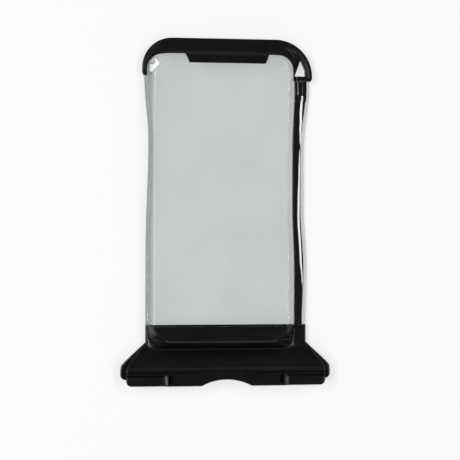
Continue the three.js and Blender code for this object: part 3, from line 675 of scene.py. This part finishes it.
def cap_height(reach, point, size, band, corner):
    """Height of the cap's front at a distance in from its outer edge."""
    skin = skin_height(point.x, point.y, skin_over, BOND + SKIN)
    from_edge = reach - RIM_WALL
    top = lerp(FLANGE_TOP + BOND + SKIN, RIM_HEIGHT, size)
    bead = top - BEAD_FALL * abs(from_edge) ** 1.5
    bead += RIB_HEIGHT * size * corner * math.sin(corner_phase(point))
    crown = RIM_HEIGHT + CROWN_STEP + CROWN_RISE * clamp(from_edge, 0, CROWN_REACH) / CROWN_RUN
    crown -= bell(from_edge, GROOVE_AT, GROOVE_WIDTH, GROOVE_DEPTH)
    weight = band * (1 - smoothstep(from_edge, *BAND_END)) * smoothstep(from_edge, *BAND_START)
    height = max(skin, lerp(skin, crown, weight))
    height -= bell(from_edge, CROWN_LINE_AT, CROWN_LINE_WIDTH, CROWN_LINE_DEPTH * band)
    if from_edge < BEAD_REACH:
        height = smooth_max(height if from_edge > 0 else 0.0, bead, 0.3)
    return height


def corner_phase(point):
    """Phase of the fine cross ribs at a place round a corner of the rim."""
    away = point - (LEFT_CORNER if point.x < 0 else RIGHT_CORNER)
    radius = FILM_CORNER if point.x < 0 else FILM_RIGHT_CORNER
    return math.atan2(away.y, abs(away.x)) * radius / RIB_PITCH * 2 * math.pi


def cap_section(outer, inward, size, band, corner):
    """One section of the cap, as a closed ring of points.

    It runs over the front to the window, back under the front to the slot for the films, out over
    the slot's floor to the back's window, back over the underside and up the outer side.
    """
    reach = window_reach(outer, inward, True)
    back_reach = window_reach(outer, inward, False)
    wall = RIM_WALL if size == 1.0 else lerp(BOND + 0.2, RIM_WALL, size)
    shrink = RIM_WALL - wall
    slot = RIM_WALL - BOND
    profile = []

    def add(inset, height):
        place = outer + inward * inset
        profile.append((place.x, place.y, height))

    steps = [s for s in RIM_STEPS if s < reach * 0.6] or [reach * 0.3]
    while len(steps) < len(RIM_STEPS):
        steps.append(lerp(steps[-1], reach - 0.2, 0.1))
    steps += [lerp(steps[-1], reach - 0.25, k / 18) for k in range(1, 19)]
    for distance in steps:
        inset = max(distance, shrink)
        add(inset, cap_height(distance, outer + inward * inset, size, band, corner))
    last = profile[-1][2]
    end = outer + inward * reach
    under = skin_height(end.x, end.y, skin_under, BOND)
    add(reach - 0.07, last - 0.1)
    add(reach, last - 0.32)
    add(reach, min(last - 0.4, under + 0.12))
    for k in range(12):
        distance = lerp(reach - 0.05, slot, k / 11)
        place = outer + inward * distance
        low = skin_height(place.x, place.y, skin_under, BOND)
        add(distance, min(low, cap_height(distance, place, size, band, corner) - 0.25))
    add(slot, BACK_SKIN)
    for k in range(1, 4):
        add(lerp(slot, back_reach, k / 3), BACK_SKIN)
    add(back_reach, 0.12)
    add(back_reach - 0.12, 0.0)
    for k in (2, 1):
        add(lerp(shrink + 0.5, back_reach, k / 3), 0.0)
    add(shrink + 0.4, 0.0)
    add(shrink + 0.12, 0.1)
    add(shrink, 0.4)
    side_top = profile[0][2]
    for share in (0.35, 0.65, 0.85):
        add(shrink, lerp(0.4, side_top - 0.3, share))
    add(shrink + 0.03, side_top - 0.2)
    return profile


def cap_piece():
    """The end cap, one section after another from arm to arm, with the lanyard hole cut out."""
    rows = [cap_section(*place) for place in cap_places()]
    verts = [p for row in rows for p in row]
    piece = make_mesh("cap_body", verts, loft_faces(len(rows), len(rows[0])), CAP_SMOOTH)
    cut_lanyard_hole(piece, CAP_SMOOTH)
    return piece


cap_body = cap_piece()
cut_lanyard_hole(front_film, FILM_SMOOTH)
cut_lanyard_hole(back_film, FILM_SMOOTH)


# Side welt

# Flat facet along the welt's outer flank: y, distance from the outer edge to its middle, and
# width. The upper one runs out over the edge at the waist, where the lower one starts.
UPPER_FACET = (
    (164, 2.8, 1.0),
    (156, 2.25, 1.45),
    (147, 1.3, 1.3),
    (139, 0.6, 0.8),
    (133.8, 0.3, 0.05),
)
LOWER_FACET = (
    (133.6, 0.75, 0.15),
    (129, 0.85, 0.65),
    (121, 1.0, 0.9),
    (104, 1.3, 1.25),
    (87, 1.6, 1.3),
    (70, 1.75, 1.15),
    (59, 0.9, 0.55),
    (55, 0.5, 0.05),
)
FACET_TILT = math.tan(math.radians(15))
STRIP_TILT = math.tan(math.radians(31))
THIN_FACET = 0.05
INNER_ROUND = 0.38
OUTER_ROUND = 0.25
FLANK_HEIGHT = 2.0
FLANK_RISE = 0.34
CREST_RISE = 0.06
HEAD_WIDER = 0.4
HEAD_STEP = 1.7
HEAD_DROP = 0.22
DENTS_START = (2.4, 3.2)
DENT_DEPTH = 0.12
DENT_SCALE = 5


def facet_at(y):
    """Place and width of the facet at one height; it thins away beyond its two ends."""
    facets = UPPER_FACET + LOWER_FACET
    if y >= facets[0][0]:
        return facets[0][1], THIN_FACET
    for upper, lower in zip(facets, facets[1:]):
        if upper[0] >= y >= lower[0]:
            t = smoothstep(upper[0] - y, 0, upper[0] - lower[0])
            return lerp(upper[1], lower[1], t), lerp(upper[2], lower[2], t)
    return facets[-1][1], THIN_FACET


def welt_section(width, middle, facet, head):
    """Section from the inner to the outer side: flat top, facet, steeper strip and edge."""
    start = width - middle - facet / 2
    end = min(width - 0.3, start + facet)
    section = [(0.0, 0.0), (0.0, 1.1), (0.02, 1.9)]
    for k in range(1, 9):
        turn = k * math.pi / 16
        height = FLANK_HEIGHT + FLANK_RISE * math.sin(turn)
        section.append((INNER_ROUND * (1 - math.cos(turn)), height))
    for share in (0.12, 0.3, 0.45, 0.55, 0.65, 0.8, 0.92, 1.0):
        x = lerp(INNER_ROUND, start, share)
        step = HEAD_DROP * head * (1 - smoothstep(x, HEAD_STEP, HEAD_STEP + 0.45))
        crest = FLANK_HEIGHT + FLANK_RISE + CREST_RISE * math.sin(math.pi * share)
        section.append((x, crest - step))
    high = section[-1][1]
    for share in (0.1, 0.35, 0.65, 0.9, 1.0):
        section.append((lerp(start, end, share), high - (end - start) * share * FACET_TILT))
    high = section[-1][1]
    strip_end = width - OUTER_ROUND
    for share in (0.15, 0.5, 0.85, 1.0):
        low = high - (strip_end - end) * share * STRIP_TILT
        section.append((lerp(end, strip_end, share), max(0.5, low)))
    high = section[-1][1]
    for k in range(1, 7):
        turn = k * math.pi / 12
        section.append((strip_end + OUTER_ROUND * math.sin(turn), high * math.cos(turn)))
    return section


def welt_piece():
    """The welt, with a wider, dented head below the cap."""
    head_end = WELT_TOP - WELT_HEAD
    levels = [WELT_TOP, WELT_TOP - 0.06, WELT_TOP - 0.2, WELT_TOP - 0.45]
    levels += [lerp(WELT_TOP - 0.9, head_end, k / 30) for k in range(31)]
    levels += [lerp(head_end - 0.5, COLLAR_LENGTH + BOND, k / 170) for k in range(171)]
    rows = []
    for y in levels:
        inner = welt_inner(y)
        head = 1 - smoothstep(head_end - y, 0, 3)
        width = film_right(y) - WELT_FLANGE + HEAD_WIDER * head - inner
        middle, facet = facet_at(y)
        ease = 0.8 + 0.2 * math.sqrt(clamp((WELT_TOP - y) / 0.45, 0, 1))
        row = []
        for x, z in welt_section(width, middle, facet, head):
            dent = DENT_DEPTH * head * (z > FLANK_HEIGHT) * smoothstep(x, *DENTS_START)
            dent *= wave(DENT_SCALE * x, DENT_SCALE * y, 3.0)
            row.append((inner + x, y, FLANGE_TOP + z * ease - dent * ease))
        rows.append(row)
    verts = [p for row in rows for p in row]
    return make_mesh("welt", verts, loft_faces(len(rows), len(rows[0])), WELT_SMOOTH)


welt = welt_piece()


# Lips


def lip_half(y, bar_half):
    """Half width of a lip, from the collar out along the flare to the closing bar."""
    if y >= FLARE_END:
        return film_half(y)
    flare = clamp((FLARE_END - y) / (FLARE_END - LIP_DEPTH), 0, 1)
    return lerp(film_half(FLARE_END), bar_half, flare)


def rounded_half(y, bar_half, near):
    """Half width of a lip with its outer corner and the shoulder of the bar rounded."""
    half = lip_half(y, bar_half)
    half -= bell(y, LIP_DEPTH, BAR_SHOULDER_WIDTH, BAR_SHOULDER_DEPTH)
    if y < near + LIP_CORNER:
        reach = math.sqrt(max(0.0, LIP_CORNER**2 - (near + LIP_CORNER - y) ** 2))
        half = min(half, bar_half - LIP_CORNER + reach)
    return half


def corner_setback(x, bar_half):
    """How far the lip's lower edge draws back at its rounded outer corner."""
    over = clamp(abs(x) - (bar_half - LIP_CORNER), 0, LIP_CORNER - 0.02)
    return LIP_CORNER - math.sqrt(max(0.0, LIP_CORNER**2 - over * over))


def mouth_edge(x, near):
    """The lip's lower edge, with the thumb notch in its middle."""
    if abs(x) >= NOTCH_RADIUS:
        return near
    return max(near, NOTCH_CENTRE + math.sqrt(NOTCH_RADIUS**2 - x * x))


def seam_height(y):
    """Height of the joint between the two lips at their sides."""
    return lerp(SIDE_SEAM, FILM_BOTTOM + BOND / 2, smoothstep(y, LIP_DEPTH + 1.1, FLARE_END))


def bar_height(y):
    """Height of the closing bar and of the slope behind it."""
    return lerp(LIP_TOP, FLANGE_TOP + BOND + SKIN, smoothstep(y, LIP_DEPTH - 0.6, FLARE_END + 0.6))


def front_lip_top(x, y, from_mouth, half):
    """Height of the front lip's upper face, with its ridge, crease, grips and slots."""
    if y >= ROOM_START:
        height = skin_height(x, max(y, FILM_END + 0.02), skin_over, BOND + SKIN)
    else:
        room_x = x * film_half(ROOM_START) / half
        start = skin_height(room_x, FILM_END + 0.02, skin_over, BOND + SKIN)
        bulge = lerp(FLANGE_TOP + BOND + SKIN, start, smoothstep(y, VALLEY - 1, ROOM_START + 0.6))
        height = smooth_max(bulge, bar_height(y), 0.7)
    collar_edge = smoothstep(COLLAR_LENGTH - y, 0, 0.35)
    height -= 0.3 * (1 - collar_edge)
    height += bell(y, LIP_DEPTH, RIDGE_WIDTH, RIDGE_HEIGHT)
    steep = clamp((CREASE_HIGH - y) / 0.15, 0, 1)
    height -= CREASE_DEPTH * steep * clamp((y - CREASE_LOW) / 0.65, 0, 1)
    height -= edge_drop(from_mouth, 0.7, 0.3)
    height -= edge_drop(half - abs(x), 0.9, 0.45) * (1 if y < FLARE_END else 0.4)
    under_wall = 1 - smoothstep(from_mouth, GRIP_WALL, GRIP_WALL + 0.35)
    sunk = (1 - (1 - clamp((abs(x) - GRIP_RAMP) / GRIP_RUN, 0, 1)) ** 2) * under_wall
    slot = smoothstep(abs(x), SLOT_INNER, SLOT_INNER + SLOT_WALL)
    slot *= 1 - smoothstep(abs(x), SLOT_OUTER, SLOT_OUTER + SLOT_WALL)
    slot *= smoothstep(from_mouth, 1.45, 1.75) * under_wall
    corner = clamp((from_mouth - 4.6) / 1.3, 0, 1) * sunk
    return height - max(GRIP_DEPTH * sunk + GRIP_CORNER_DEPTH * corner, SLOT_DEPTH * slot)


def cut_magnet_pockets(piece, low, high):
    """Cuts the six pockets that hold the magnets of one lip."""
    for k in range(6):
        x = (k - 2.5) * MAGNET_PITCH
        left, right = x - POCKET_HALF, x + POCKET_HALF
        box = [(left, POCKET_NEAR), (right, POCKET_NEAR), (right, POCKET_FAR), (left, POCKET_FAR)]
        cut(piece, prism("pocket", box, low, high), LIP_SMOOTH)


def lip_columns():
    """Columns as shares of the half width, closest together at the rounded sides."""
    columns = [-1, -0.9985, -0.995, -0.99, -0.982, -0.972]
    columns += list(np.linspace(-0.96, -0.6, 44))
    columns += list(np.linspace(-0.59, 0.59, 96))
    columns += list(np.linspace(0.6, 0.96, 44))
    return columns + [0.972, 0.982, 0.99, 0.995, 0.9985, 1]


def grip_columns():
    """The same columns, with more at the walls of the grips and slots."""
    columns = set(round(c, 5) for c in lip_columns())
    for start, steps in (
        (SLOT_INNER, (0, 0.1, 0.2, 0.3)),
        (SLOT_OUTER, (0, 0.1, 0.2, 0.3)),
        (GRIP_RAMP, (0, 0.35, 0.7, 1.05, 1.55)),
    ):
        for step in steps:
            wall = round((start + step) / FRONT_LIP_HALF, 5)
            columns.update((wall, -wall))
    return sorted(columns)


def in_painted_shade(place):
    """True in the crease, the slots and the grips' upper corners, whose faces get a near-black
    painted shade because little light comes there.
    """
    from_mouth = place.y + LENGTH / 2
    if place.z < LIP_TOP - 1.5:
        return False
    if CREASE_LOW + 0.05 < from_mouth < CREASE_HIGH and abs(place.x) > CREASE_PAINTED_SHADE_FROM:
        return True
    if from_mouth > GRIP_WALL + 0.3:
        return False
    if SLOT_INNER + 0.1 < abs(place.x) < SLOT_OUTER + 0.2:
        return from_mouth > 1.6
    return abs(place.x) > GRIP_RAMP + 1.5 and from_mouth > 4.7


def front_lip_piece():
    """The front lip, from the collar's edge down to the mouth."""
    down = [COLLAR_LENGTH - s for s in (0, 0.06, 0.15, 0.3, 0.5)]
    down += list(np.linspace(COLLAR_LENGTH - 0.9, ROOM_START, 16))
    down += list(np.linspace(ROOM_START - 0.35, LIP_DEPTH + 0.4, 44))
    down += [LIP_DEPTH, 10.5, 10.25, 10.0, 9.75, 9.5, 9.25, 9.0, 8.6, 8.3, 8.1, 8.0]
    down += [7.925, 7.85, 7.6, 7.4, 7.2, 7.1, 6.7, 6.45, 6.35, 6.22, 6.1, 5.95, 5.6, 5, 4.4]
    down += [3.8, 3.2, 2.6, 2.1, 1.8, 1.7, 1.6, 1.5, 1.4, 1.1, 0.8, 0.6, 0.4, 0.25, 0.12, 0.04, 0]
    top, bottom = [], []
    for y in down:
        top_row, bottom_row = [], []
        for share in grip_columns():
            conform = clamp((NOTCH_REACH - y) / NOTCH_REACH, 0, 1)
            half = FRONT_LIP_HALF
            if y > LIP_CORNER:
                half = rounded_half(y, FRONT_LIP_HALF, 0.0)
            x = share * half
            place = y
            if y <= LIP_CORNER:
                place += corner_setback(x, FRONT_LIP_HALF) * (1 - y / LIP_CORNER)
            place += mouth_edge(x, 0.0) * conform
            high = front_lip_top(x, place, y, half)
            top_row.append((x, place, high))
            if y >= ROOM_START:
                low = skin_height(x, max(y, FILM_END + 0.02), skin_under, BOND)
            else:
                under = FRONT_LIP_BOTTOM if y <= LIP_DEPTH else seam_height(y) + BOND / 2
                roof = min(high - SKIN, FRONT_LIP_BOTTOM) if y < VALLEY else high - SKIN
                side = abs(share) > SIDE_WALL_SHARE
                low = under if side else max(roof, under)
            bottom_row.append((x, place, min(low, high - 0.3)))
        top.append(top_row)
        bottom.append(bottom_row)
    piece = slab("front_lip_body", top, bottom, LIP_SMOOTH)
    cut_magnet_pockets(piece, FRONT_LIP_BOTTOM - 1, FRONT_LIP_BOTTOM + POCKET_DEPTH)
    return piece


def back_lip_piece():
    """The back lip, flat on its back and set a little further from the mouth than the front lip."""
    down = [COLLAR_LENGTH, COLLAR_LENGTH - 0.2, FILM_END]
    down += list(np.linspace(FLARE_END, LIP_DEPTH + 0.6, 24))
    down += list(np.linspace(LIP_DEPTH, BACK_SETBACK + 3, 10))
    down += [BACK_SETBACK + s for s in (2.5, 2, 1.5, 1.1, 0.8, 0.5, 0.3, 0.15, 0.05, 0)]
    shares = [-1, -0.997, -0.99, -0.98, -0.965, -0.95] + list(np.linspace(-0.93, 0.93, 90))
    shares += [0.95, 0.965, 0.98, 0.99, 0.997, 1]
    top, bottom = [], []
    for y in down:
        top_row, bottom_row = [], []
        back_half = BACK_LIP_HALF
        if y >= BACK_SETBACK + LIP_CORNER:
            back_half = rounded_half(y, BACK_LIP_HALF, BACK_SETBACK)
        for share in shares:
            x = share * back_half
            from_mouth = y - BACK_SETBACK
            conform = clamp((BACK_NOTCH_REACH - y) / (BACK_NOTCH_REACH - BACK_SETBACK), 0, 1)
            place = y + (mouth_edge(x, BACK_SETBACK) - BACK_SETBACK) * conform
            if from_mouth <= LIP_CORNER:
                place += corner_setback(x, BACK_LIP_HALF) * (1 - from_mouth / LIP_CORNER)
            inner = lip_half(y, FRONT_LIP_HALF) - SEAM_INSET
            if y <= LIP_DEPTH:
                high = RAIL
            else:
                seam = BACK_SKIN if y >= FLARE_END else max(BACK_SKIN, seam_height(y) - BOND / 2)
                mouth = lerp(RAIL, BACK_SKIN, smoothstep(y, LIP_DEPTH, FLARE_END))
                high = min(RAIL, lerp(mouth, seam, smoothstep(abs(x), inner - 1.5, inner)))
            high -= edge_drop(back_half - abs(x), 0.7, 0.3) * (high > 1.2)
            high -= edge_drop(from_mouth, 0.6, 0.3)
            top_row.append((x, place, high))
            lift = edge_drop(min(back_half - abs(x), from_mouth), 0.4, 0.25)
            bottom_row.append((x, place, lift))
        top.append(top_row)
        bottom.append(bottom_row)
    piece = slab("back_lip_body", top, bottom, LIP_SMOOTH)
    cut_magnet_pockets(piece, RAIL - POCKET_DEPTH, RAIL + 1)
    return piece


front_lip_body = front_lip_piece()
back_lip_body = back_lip_piece()


# Materials

CAP_SPECULAR = 0.09
# Painted shade on the films: their tint is darkened by this share on the left strip, in full left
# of the edge's first place and fading out by its second
LEFT_STRIP_PAINTED_SHADE = 0.86
LEFT_STRIP_EDGE = (-0.0425, -0.0405)  # in metres from the middle line


def new_material(name):
    material = bpy.data.materials.new(name)
    material.use_nodes = True
    tree = material.node_tree
    tree.nodes.clear()
    output = tree.nodes.new("ShaderNodeOutputMaterial")
    return material, tree, output


def noise(tree, scale, detail=4.0, roughness=0.55, stretch=(1, 1, 1)):
    """Noise over the object's own coordinates, with the scale in waves a metre."""
    place = tree.nodes.new("ShaderNodeTexCoord")
    turn = tree.nodes.new("ShaderNodeMapping")
    turn.inputs["Scale"].default_value = stretch
    node = tree.nodes.new("ShaderNodeTexNoise")
    node.inputs["Scale"].default_value = scale
    node.inputs["Detail"].default_value = detail
    node.inputs["Roughness"].default_value = roughness
    tree.links.new(place.outputs["Object"], turn.inputs["Vector"])
    tree.links.new(turn.outputs["Vector"], node.inputs["Vector"])
    return node.outputs["Fac"]


def across(tree):
    """Place across the pouch, in metres from its middle line."""
    place = tree.nodes.new("ShaderNodeTexCoord")
    split = tree.nodes.new("ShaderNodeSeparateXYZ")
    tree.links.new(place.outputs["Object"], split.inputs["Vector"])
    return split.outputs["X"]


def ramp(tree, source, low, high, places=(0.3, 0.7)):
    """Runs from low to high while the source runs between the two places."""
    node = tree.nodes.new("ShaderNodeMapRange")
    node.inputs["From Min"].default_value = places[0]
    node.inputs["From Max"].default_value = places[1]
    node.inputs["To Min"].default_value = low
    node.inputs["To Max"].default_value = high
    tree.links.new(source, node.inputs["Value"])
    return node.outputs["Result"]


def blend_colour(tree, source, first, second):
    """Runs from the first colour to the second as the source runs from 0 to 1."""
    node = tree.nodes.new("ShaderNodeMix")
    node.data_type = "RGBA"
    node.inputs["A"].default_value = (*first, 1)
    node.inputs["B"].default_value = (*second, 1)
    tree.links.new(source, node.inputs["Factor"])
    return node.outputs["Result"]


def combine(tree, operation, first, second):
    """A sum or the like of a link and another link or a number."""
    node = tree.nodes.new("ShaderNodeMath")
    node.operation = operation
    tree.links.new(first, node.inputs[0])
    if isinstance(second, float):
        node.inputs[1].default_value = second
    else:
        tree.links.new(second, node.inputs[1])
    return node.outputs["Value"]


def mix_shaders(tree, share, first, second, output):
    mix = tree.nodes.new("ShaderNodeMixShader")
    tree.links.new(share, mix.inputs["Fac"])
    tree.links.new(first, mix.inputs[1])
    tree.links.new(second, mix.inputs[2])
    tree.links.new(mix.outputs["Shader"], output.inputs["Surface"])


def bump(tree, height, strength, distance, normal=None):
    node = tree.nodes.new("ShaderNodeBump")
    node.inputs["Strength"].default_value = strength
    node.inputs["Distance"].default_value = distance
    tree.links.new(height, node.inputs["Height"])
    if normal is not None:
        tree.links.new(normal, node.inputs["Normal"])
    return node.outputs["Normal"]


def black_plastic(name, dark, light, gloss, grain, specular, ripple=0.3):
    """Moulded black plastic: faint cloudiness, fine grain and uneven gloss."""
    material, tree, output = new_material(name)
    shader = tree.nodes.new("ShaderNodeBsdfPrincipled")
    tree.links.new(shader.outputs["BSDF"], output.inputs["Surface"])
    shader.inputs["Specular IOR Level"].default_value = specular
    cloud = ramp(tree, noise(tree, 70, 3), 0, 1)
    tree.links.new(blend_colour(tree, cloud, dark, light), shader.inputs["Base Color"])
    smear = noise(tree, 160, 5, 0.6, (0.35, 1, 1))
    tree.links.new(ramp(tree, smear, gloss[0], gloss[1]), shader.inputs["Roughness"])
    fine = bump(tree, noise(tree, 5200, 2), grain, 0.00002)
    tree.links.new(bump(tree, noise(tree, 120, 2), ripple, 0.0001, fine), shader.inputs["Normal"])
    return material


def dull_upper_faces(material, specular):
    """Fades the shine of faces that lean to the pouch's top, which mirror the bright floor."""
    tree = material.node_tree
    shader = next(node for node in tree.nodes if node.type == "BSDF_PRINCIPLED")
    facing = tree.nodes.new("ShaderNodeNewGeometry")
    split = tree.nodes.new("ShaderNodeSeparateXYZ")
    tree.links.new(facing.outputs["Normal"], split.inputs["Vector"])
    level = ramp(tree, split.outputs["Y"], specular, 0.3 * specular, (0.4, 0.65))
    tree.links.new(level, shader.inputs["Specular IOR Level"])


def clear_film(name, tint, seed):
    """Clear film: a faint grey tint, with painted shade that darkens the left strip, and glossy,
    uneven reflections.
    """
    material, tree, output = new_material(name)
    cloud = noise(tree, 34 + seed, 3)
    # Mask of the painted shade on the left strip, added to the faint random cloudiness
    strip = ramp(tree, across(tree), 1, 0, LEFT_STRIP_EDGE)
    cloud_and_painted_shade = combine(tree, "ADD", ramp(tree, cloud, 0, 0.12), strip)
    painted_shade_tint = tuple(c * LEFT_STRIP_PAINTED_SHADE for c in tint)
    clear = tree.nodes.new("ShaderNodeBsdfTransparent")
    tree.links.new(blend_colour(tree, cloud_and_painted_shade, tint, painted_shade_tint), clear.inputs["Color"])

    shine = tree.nodes.new("ShaderNodeBsdfPrincipled")
    shine.inputs["Metallic"].default_value = 1.0
    shine.inputs["Base Color"].default_value = (0.95, 0.97, 0.97, 1)
    smear = noise(tree, 120 + seed, 5, 0.6)
    tree.links.new(ramp(tree, smear, 0.05, 0.12), shine.inputs["Roughness"])
    ripple = bump(tree, noise(tree, 30 + seed, 1), 0.25, 0.0006)
    tree.links.new(ripple, shine.inputs["Normal"])

    facing = tree.nodes.new("ShaderNodeLayerWeight")
    facing.inputs["Blend"].default_value = 0.5
    curve = combine(tree, "POWER", facing.outputs["Facing"], 3.0)
    share = ramp(tree, curve, 0.035, 0.2, (0, 1))
    mix_shaders(tree, share, clear.outputs["BSDF"], shine.outputs["BSDF"], output)
    return material


cap_black = black_plastic(
    "cap_black",
    dark=(0.0068, 0.0071, 0.0071),
    light=(0.0092, 0.0096, 0.0096),
    gloss=(0.14, 0.22),
    grain=0.15,
    specular=CAP_SPECULAR,
)
dull_upper_faces(cap_black, CAP_SPECULAR)
lip_black = black_plastic(
    "lip_black",
    dark=(0.0025, 0.0027, 0.0027),
    light=(0.004, 0.0043, 0.0043),
    gloss=(0.24, 0.36),
    grain=0.4,
    specular=0.3,
)
welt_black = black_plastic(
    "welt_black",
    dark=(0.004, 0.004, 0.0042),
    light=(0.006, 0.006, 0.0063),
    gloss=(0.07, 0.13),
    grain=0.03,
    specular=0.8,
    ripple=0.06,
)
seal_black = black_plastic(
    "seal_black",
    dark=(0.016, 0.016, 0.017),
    light=(0.022, 0.022, 0.023),
    gloss=(0.55, 0.7),
    grain=0.6,
    specular=0.4,
)
# Painted shade: near-black plastic with almost no shine, laid on the front lip's crease, slots and
# grip corners in place of their shade
painted_shade_black = black_plastic(
    "painted_shade_black",
    dark=(0.001, 0.001, 0.001),
    light=(0.0015, 0.0015, 0.0015),
    gloss=(0.5, 0.6),
    grain=0.3,
    specular=0.05,
)
front_clear = clear_film("front_clear", (0.94, 0.947, 0.947), 0)
back_clear = clear_film("back_clear", (0.945, 0.952, 0.952), 9)


def plated_steel():
    """Nickel plate with smears, for the magnets."""
    material, tree, output = new_material("plated_steel")
    shader = tree.nodes.new("ShaderNodeBsdfPrincipled")
    tree.links.new(shader.outputs["BSDF"], output.inputs["Surface"])
    shader.inputs["Metallic"].default_value = 1.0
    smear = noise(tree, 300, 4)
    tree.links.new(
        blend_colour(tree, ramp(tree, smear, 0, 1), (0.56, 0.57, 0.58), (0.64, 0.65, 0.66)),
        shader.inputs["Base Color"],
    )
    tree.links.new(ramp(tree, smear, 0.2, 0.34), shader.inputs["Roughness"])
    return material


steel = plated_steel()


def dress(piece, material):
    """Gives a piece its only material."""
    piece.data.materials.clear()
    piece.data.materials.append(material)


for piece, node, slot, material in (
    (front_film, "front_window", "clear_film", front_clear),
    (back_film, "back_sheet", "clear_film", back_clear),
    (cap_body, "end_cap", "black_gloss", cap_black),
    (welt, "side_welt", "black_gloss", welt_black),
    (front_lip_body, "front_lip", "black_satin", lip_black),
    (back_lip_body, "back_lip", "black_satin", lip_black),
):
    dress(piece, material)
    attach(piece, "root")
    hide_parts(node)

# The front lip's crease, slots and grip corners take the painted shade as their second material
front_lip_body.data.materials.append(painted_shade_black)
for face in front_lip_body.data.polygons:
    face.material_index = 1 if in_painted_shade(face.center * 1000) else 0

for name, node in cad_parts.items():
    if "seal_strip" in name:
        dress(node, seal_black)
    if "magnet" in name:
        dress(node, steel)


# Floor, lamps and camera

FLOOR_HALF = 8000
FLOOR_DROP = 0.0002
FLOOR_GLOW = 0.62
CAMERA_LENS = 69.03
CAMERA_TARGET = Vector((0.0021, -0.0105, 0.003))
CAMERA_DISTANCE = 0.5
CAMERA_TILT = 4.75
CAMERA_LEAN = -0.15


def stage_floor():
    """White floor that keeps the pouch's shadow and looks white in mirrors and through the film."""
    half = FLOOR_HALF
    corners = [(-half, -half, 0), (half, -half, 0), (half, half, 0), (-half, half, 0)]
    piece = make_mesh("floor", corners, [(0, 1, 2, 3)])
    piece.location.z = -FLOOR_DROP
    material, tree, output = new_material("floor_white")
    paint = tree.nodes.new("ShaderNodeBsdfDiffuse")
    paint.inputs["Color"].default_value = (0.97, 0.97, 0.97, 1)
    glow = tree.nodes.new("ShaderNodeEmission")
    path = tree.nodes.new("ShaderNodeLightPath")
    seen = path.outputs["Is Camera Ray"]
    for kind in ("Is Glossy Ray", "Is Transmission Ray"):
        seen = combine(tree, "MAXIMUM", seen, path.outputs[kind])
    share = combine(tree, "MULTIPLY", seen, FLOOR_GLOW)
    mix_shaders(tree, share, paint.outputs["BSDF"], glow.outputs["Emission"], output)
    dress(piece, material)


stage_floor()


def lamp(name, place, size, power):
    """Rectangular lamp that is aimed at the pouch's middle."""
    data = bpy.data.lights.new(name, "AREA")
    data.shape = "RECTANGLE"
    data.size, data.size_y = size
    data.energy = power
    holder = bpy.data.objects.new(name, data)
    holder.location = place
    holder.rotation_euler = (-Vector(place)).to_track_quat("-Z", "Y").to_euler()
    bpy.context.scene.collection.objects.link(holder)


# A side lamp's first size runs along the pouch, its second across.
lamp("left", (-0.85, 0.1, 1.0), (1.2, 0.35), 11.5)
lamp("right", (0.85, 0.1, 1.0), (1.5, 0.12), 8)
lamp("foot", (0.1, -1.3, 0.55), (1.2, 1.1), 5)

world = bpy.data.worlds.new("studio")
world.use_nodes = True
world.node_tree.nodes["Background"].inputs["Color"].default_value = (0.1, 0.1, 0.102, 1)
bpy.context.scene.world = world
bpy.context.scene.view_settings.view_transform = "Standard"


def stage_camera():
    """The photo's view, from above the pouch and a little to its left."""
    data = bpy.data.cameras.new("camera")
    data.lens = CAMERA_LENS
    data.sensor_width = 36.0
    data.clip_start = 0.01
    holder = bpy.data.objects.new("camera", data)
    tilt = math.radians(CAMERA_TILT)
    back = Vector((-math.sin(tilt), 0, math.cos(tilt)))
    holder.location = CAMERA_TARGET + back * CAMERA_DISTANCE
    lean = math.radians(CAMERA_LEAN)
    side = Vector((math.sin(lean), math.cos(lean), 0)).cross(back).normalized()
    up = back.cross(side)
    turn = holder.matrix_world.to_3x3()
    turn.col[0], turn.col[1], turn.col[2] = side, up, back
    holder.rotation_euler = turn.to_euler()
    bpy.context.scene.collection.objects.link(holder)
    bpy.context.scene.camera = holder


stage_camera()
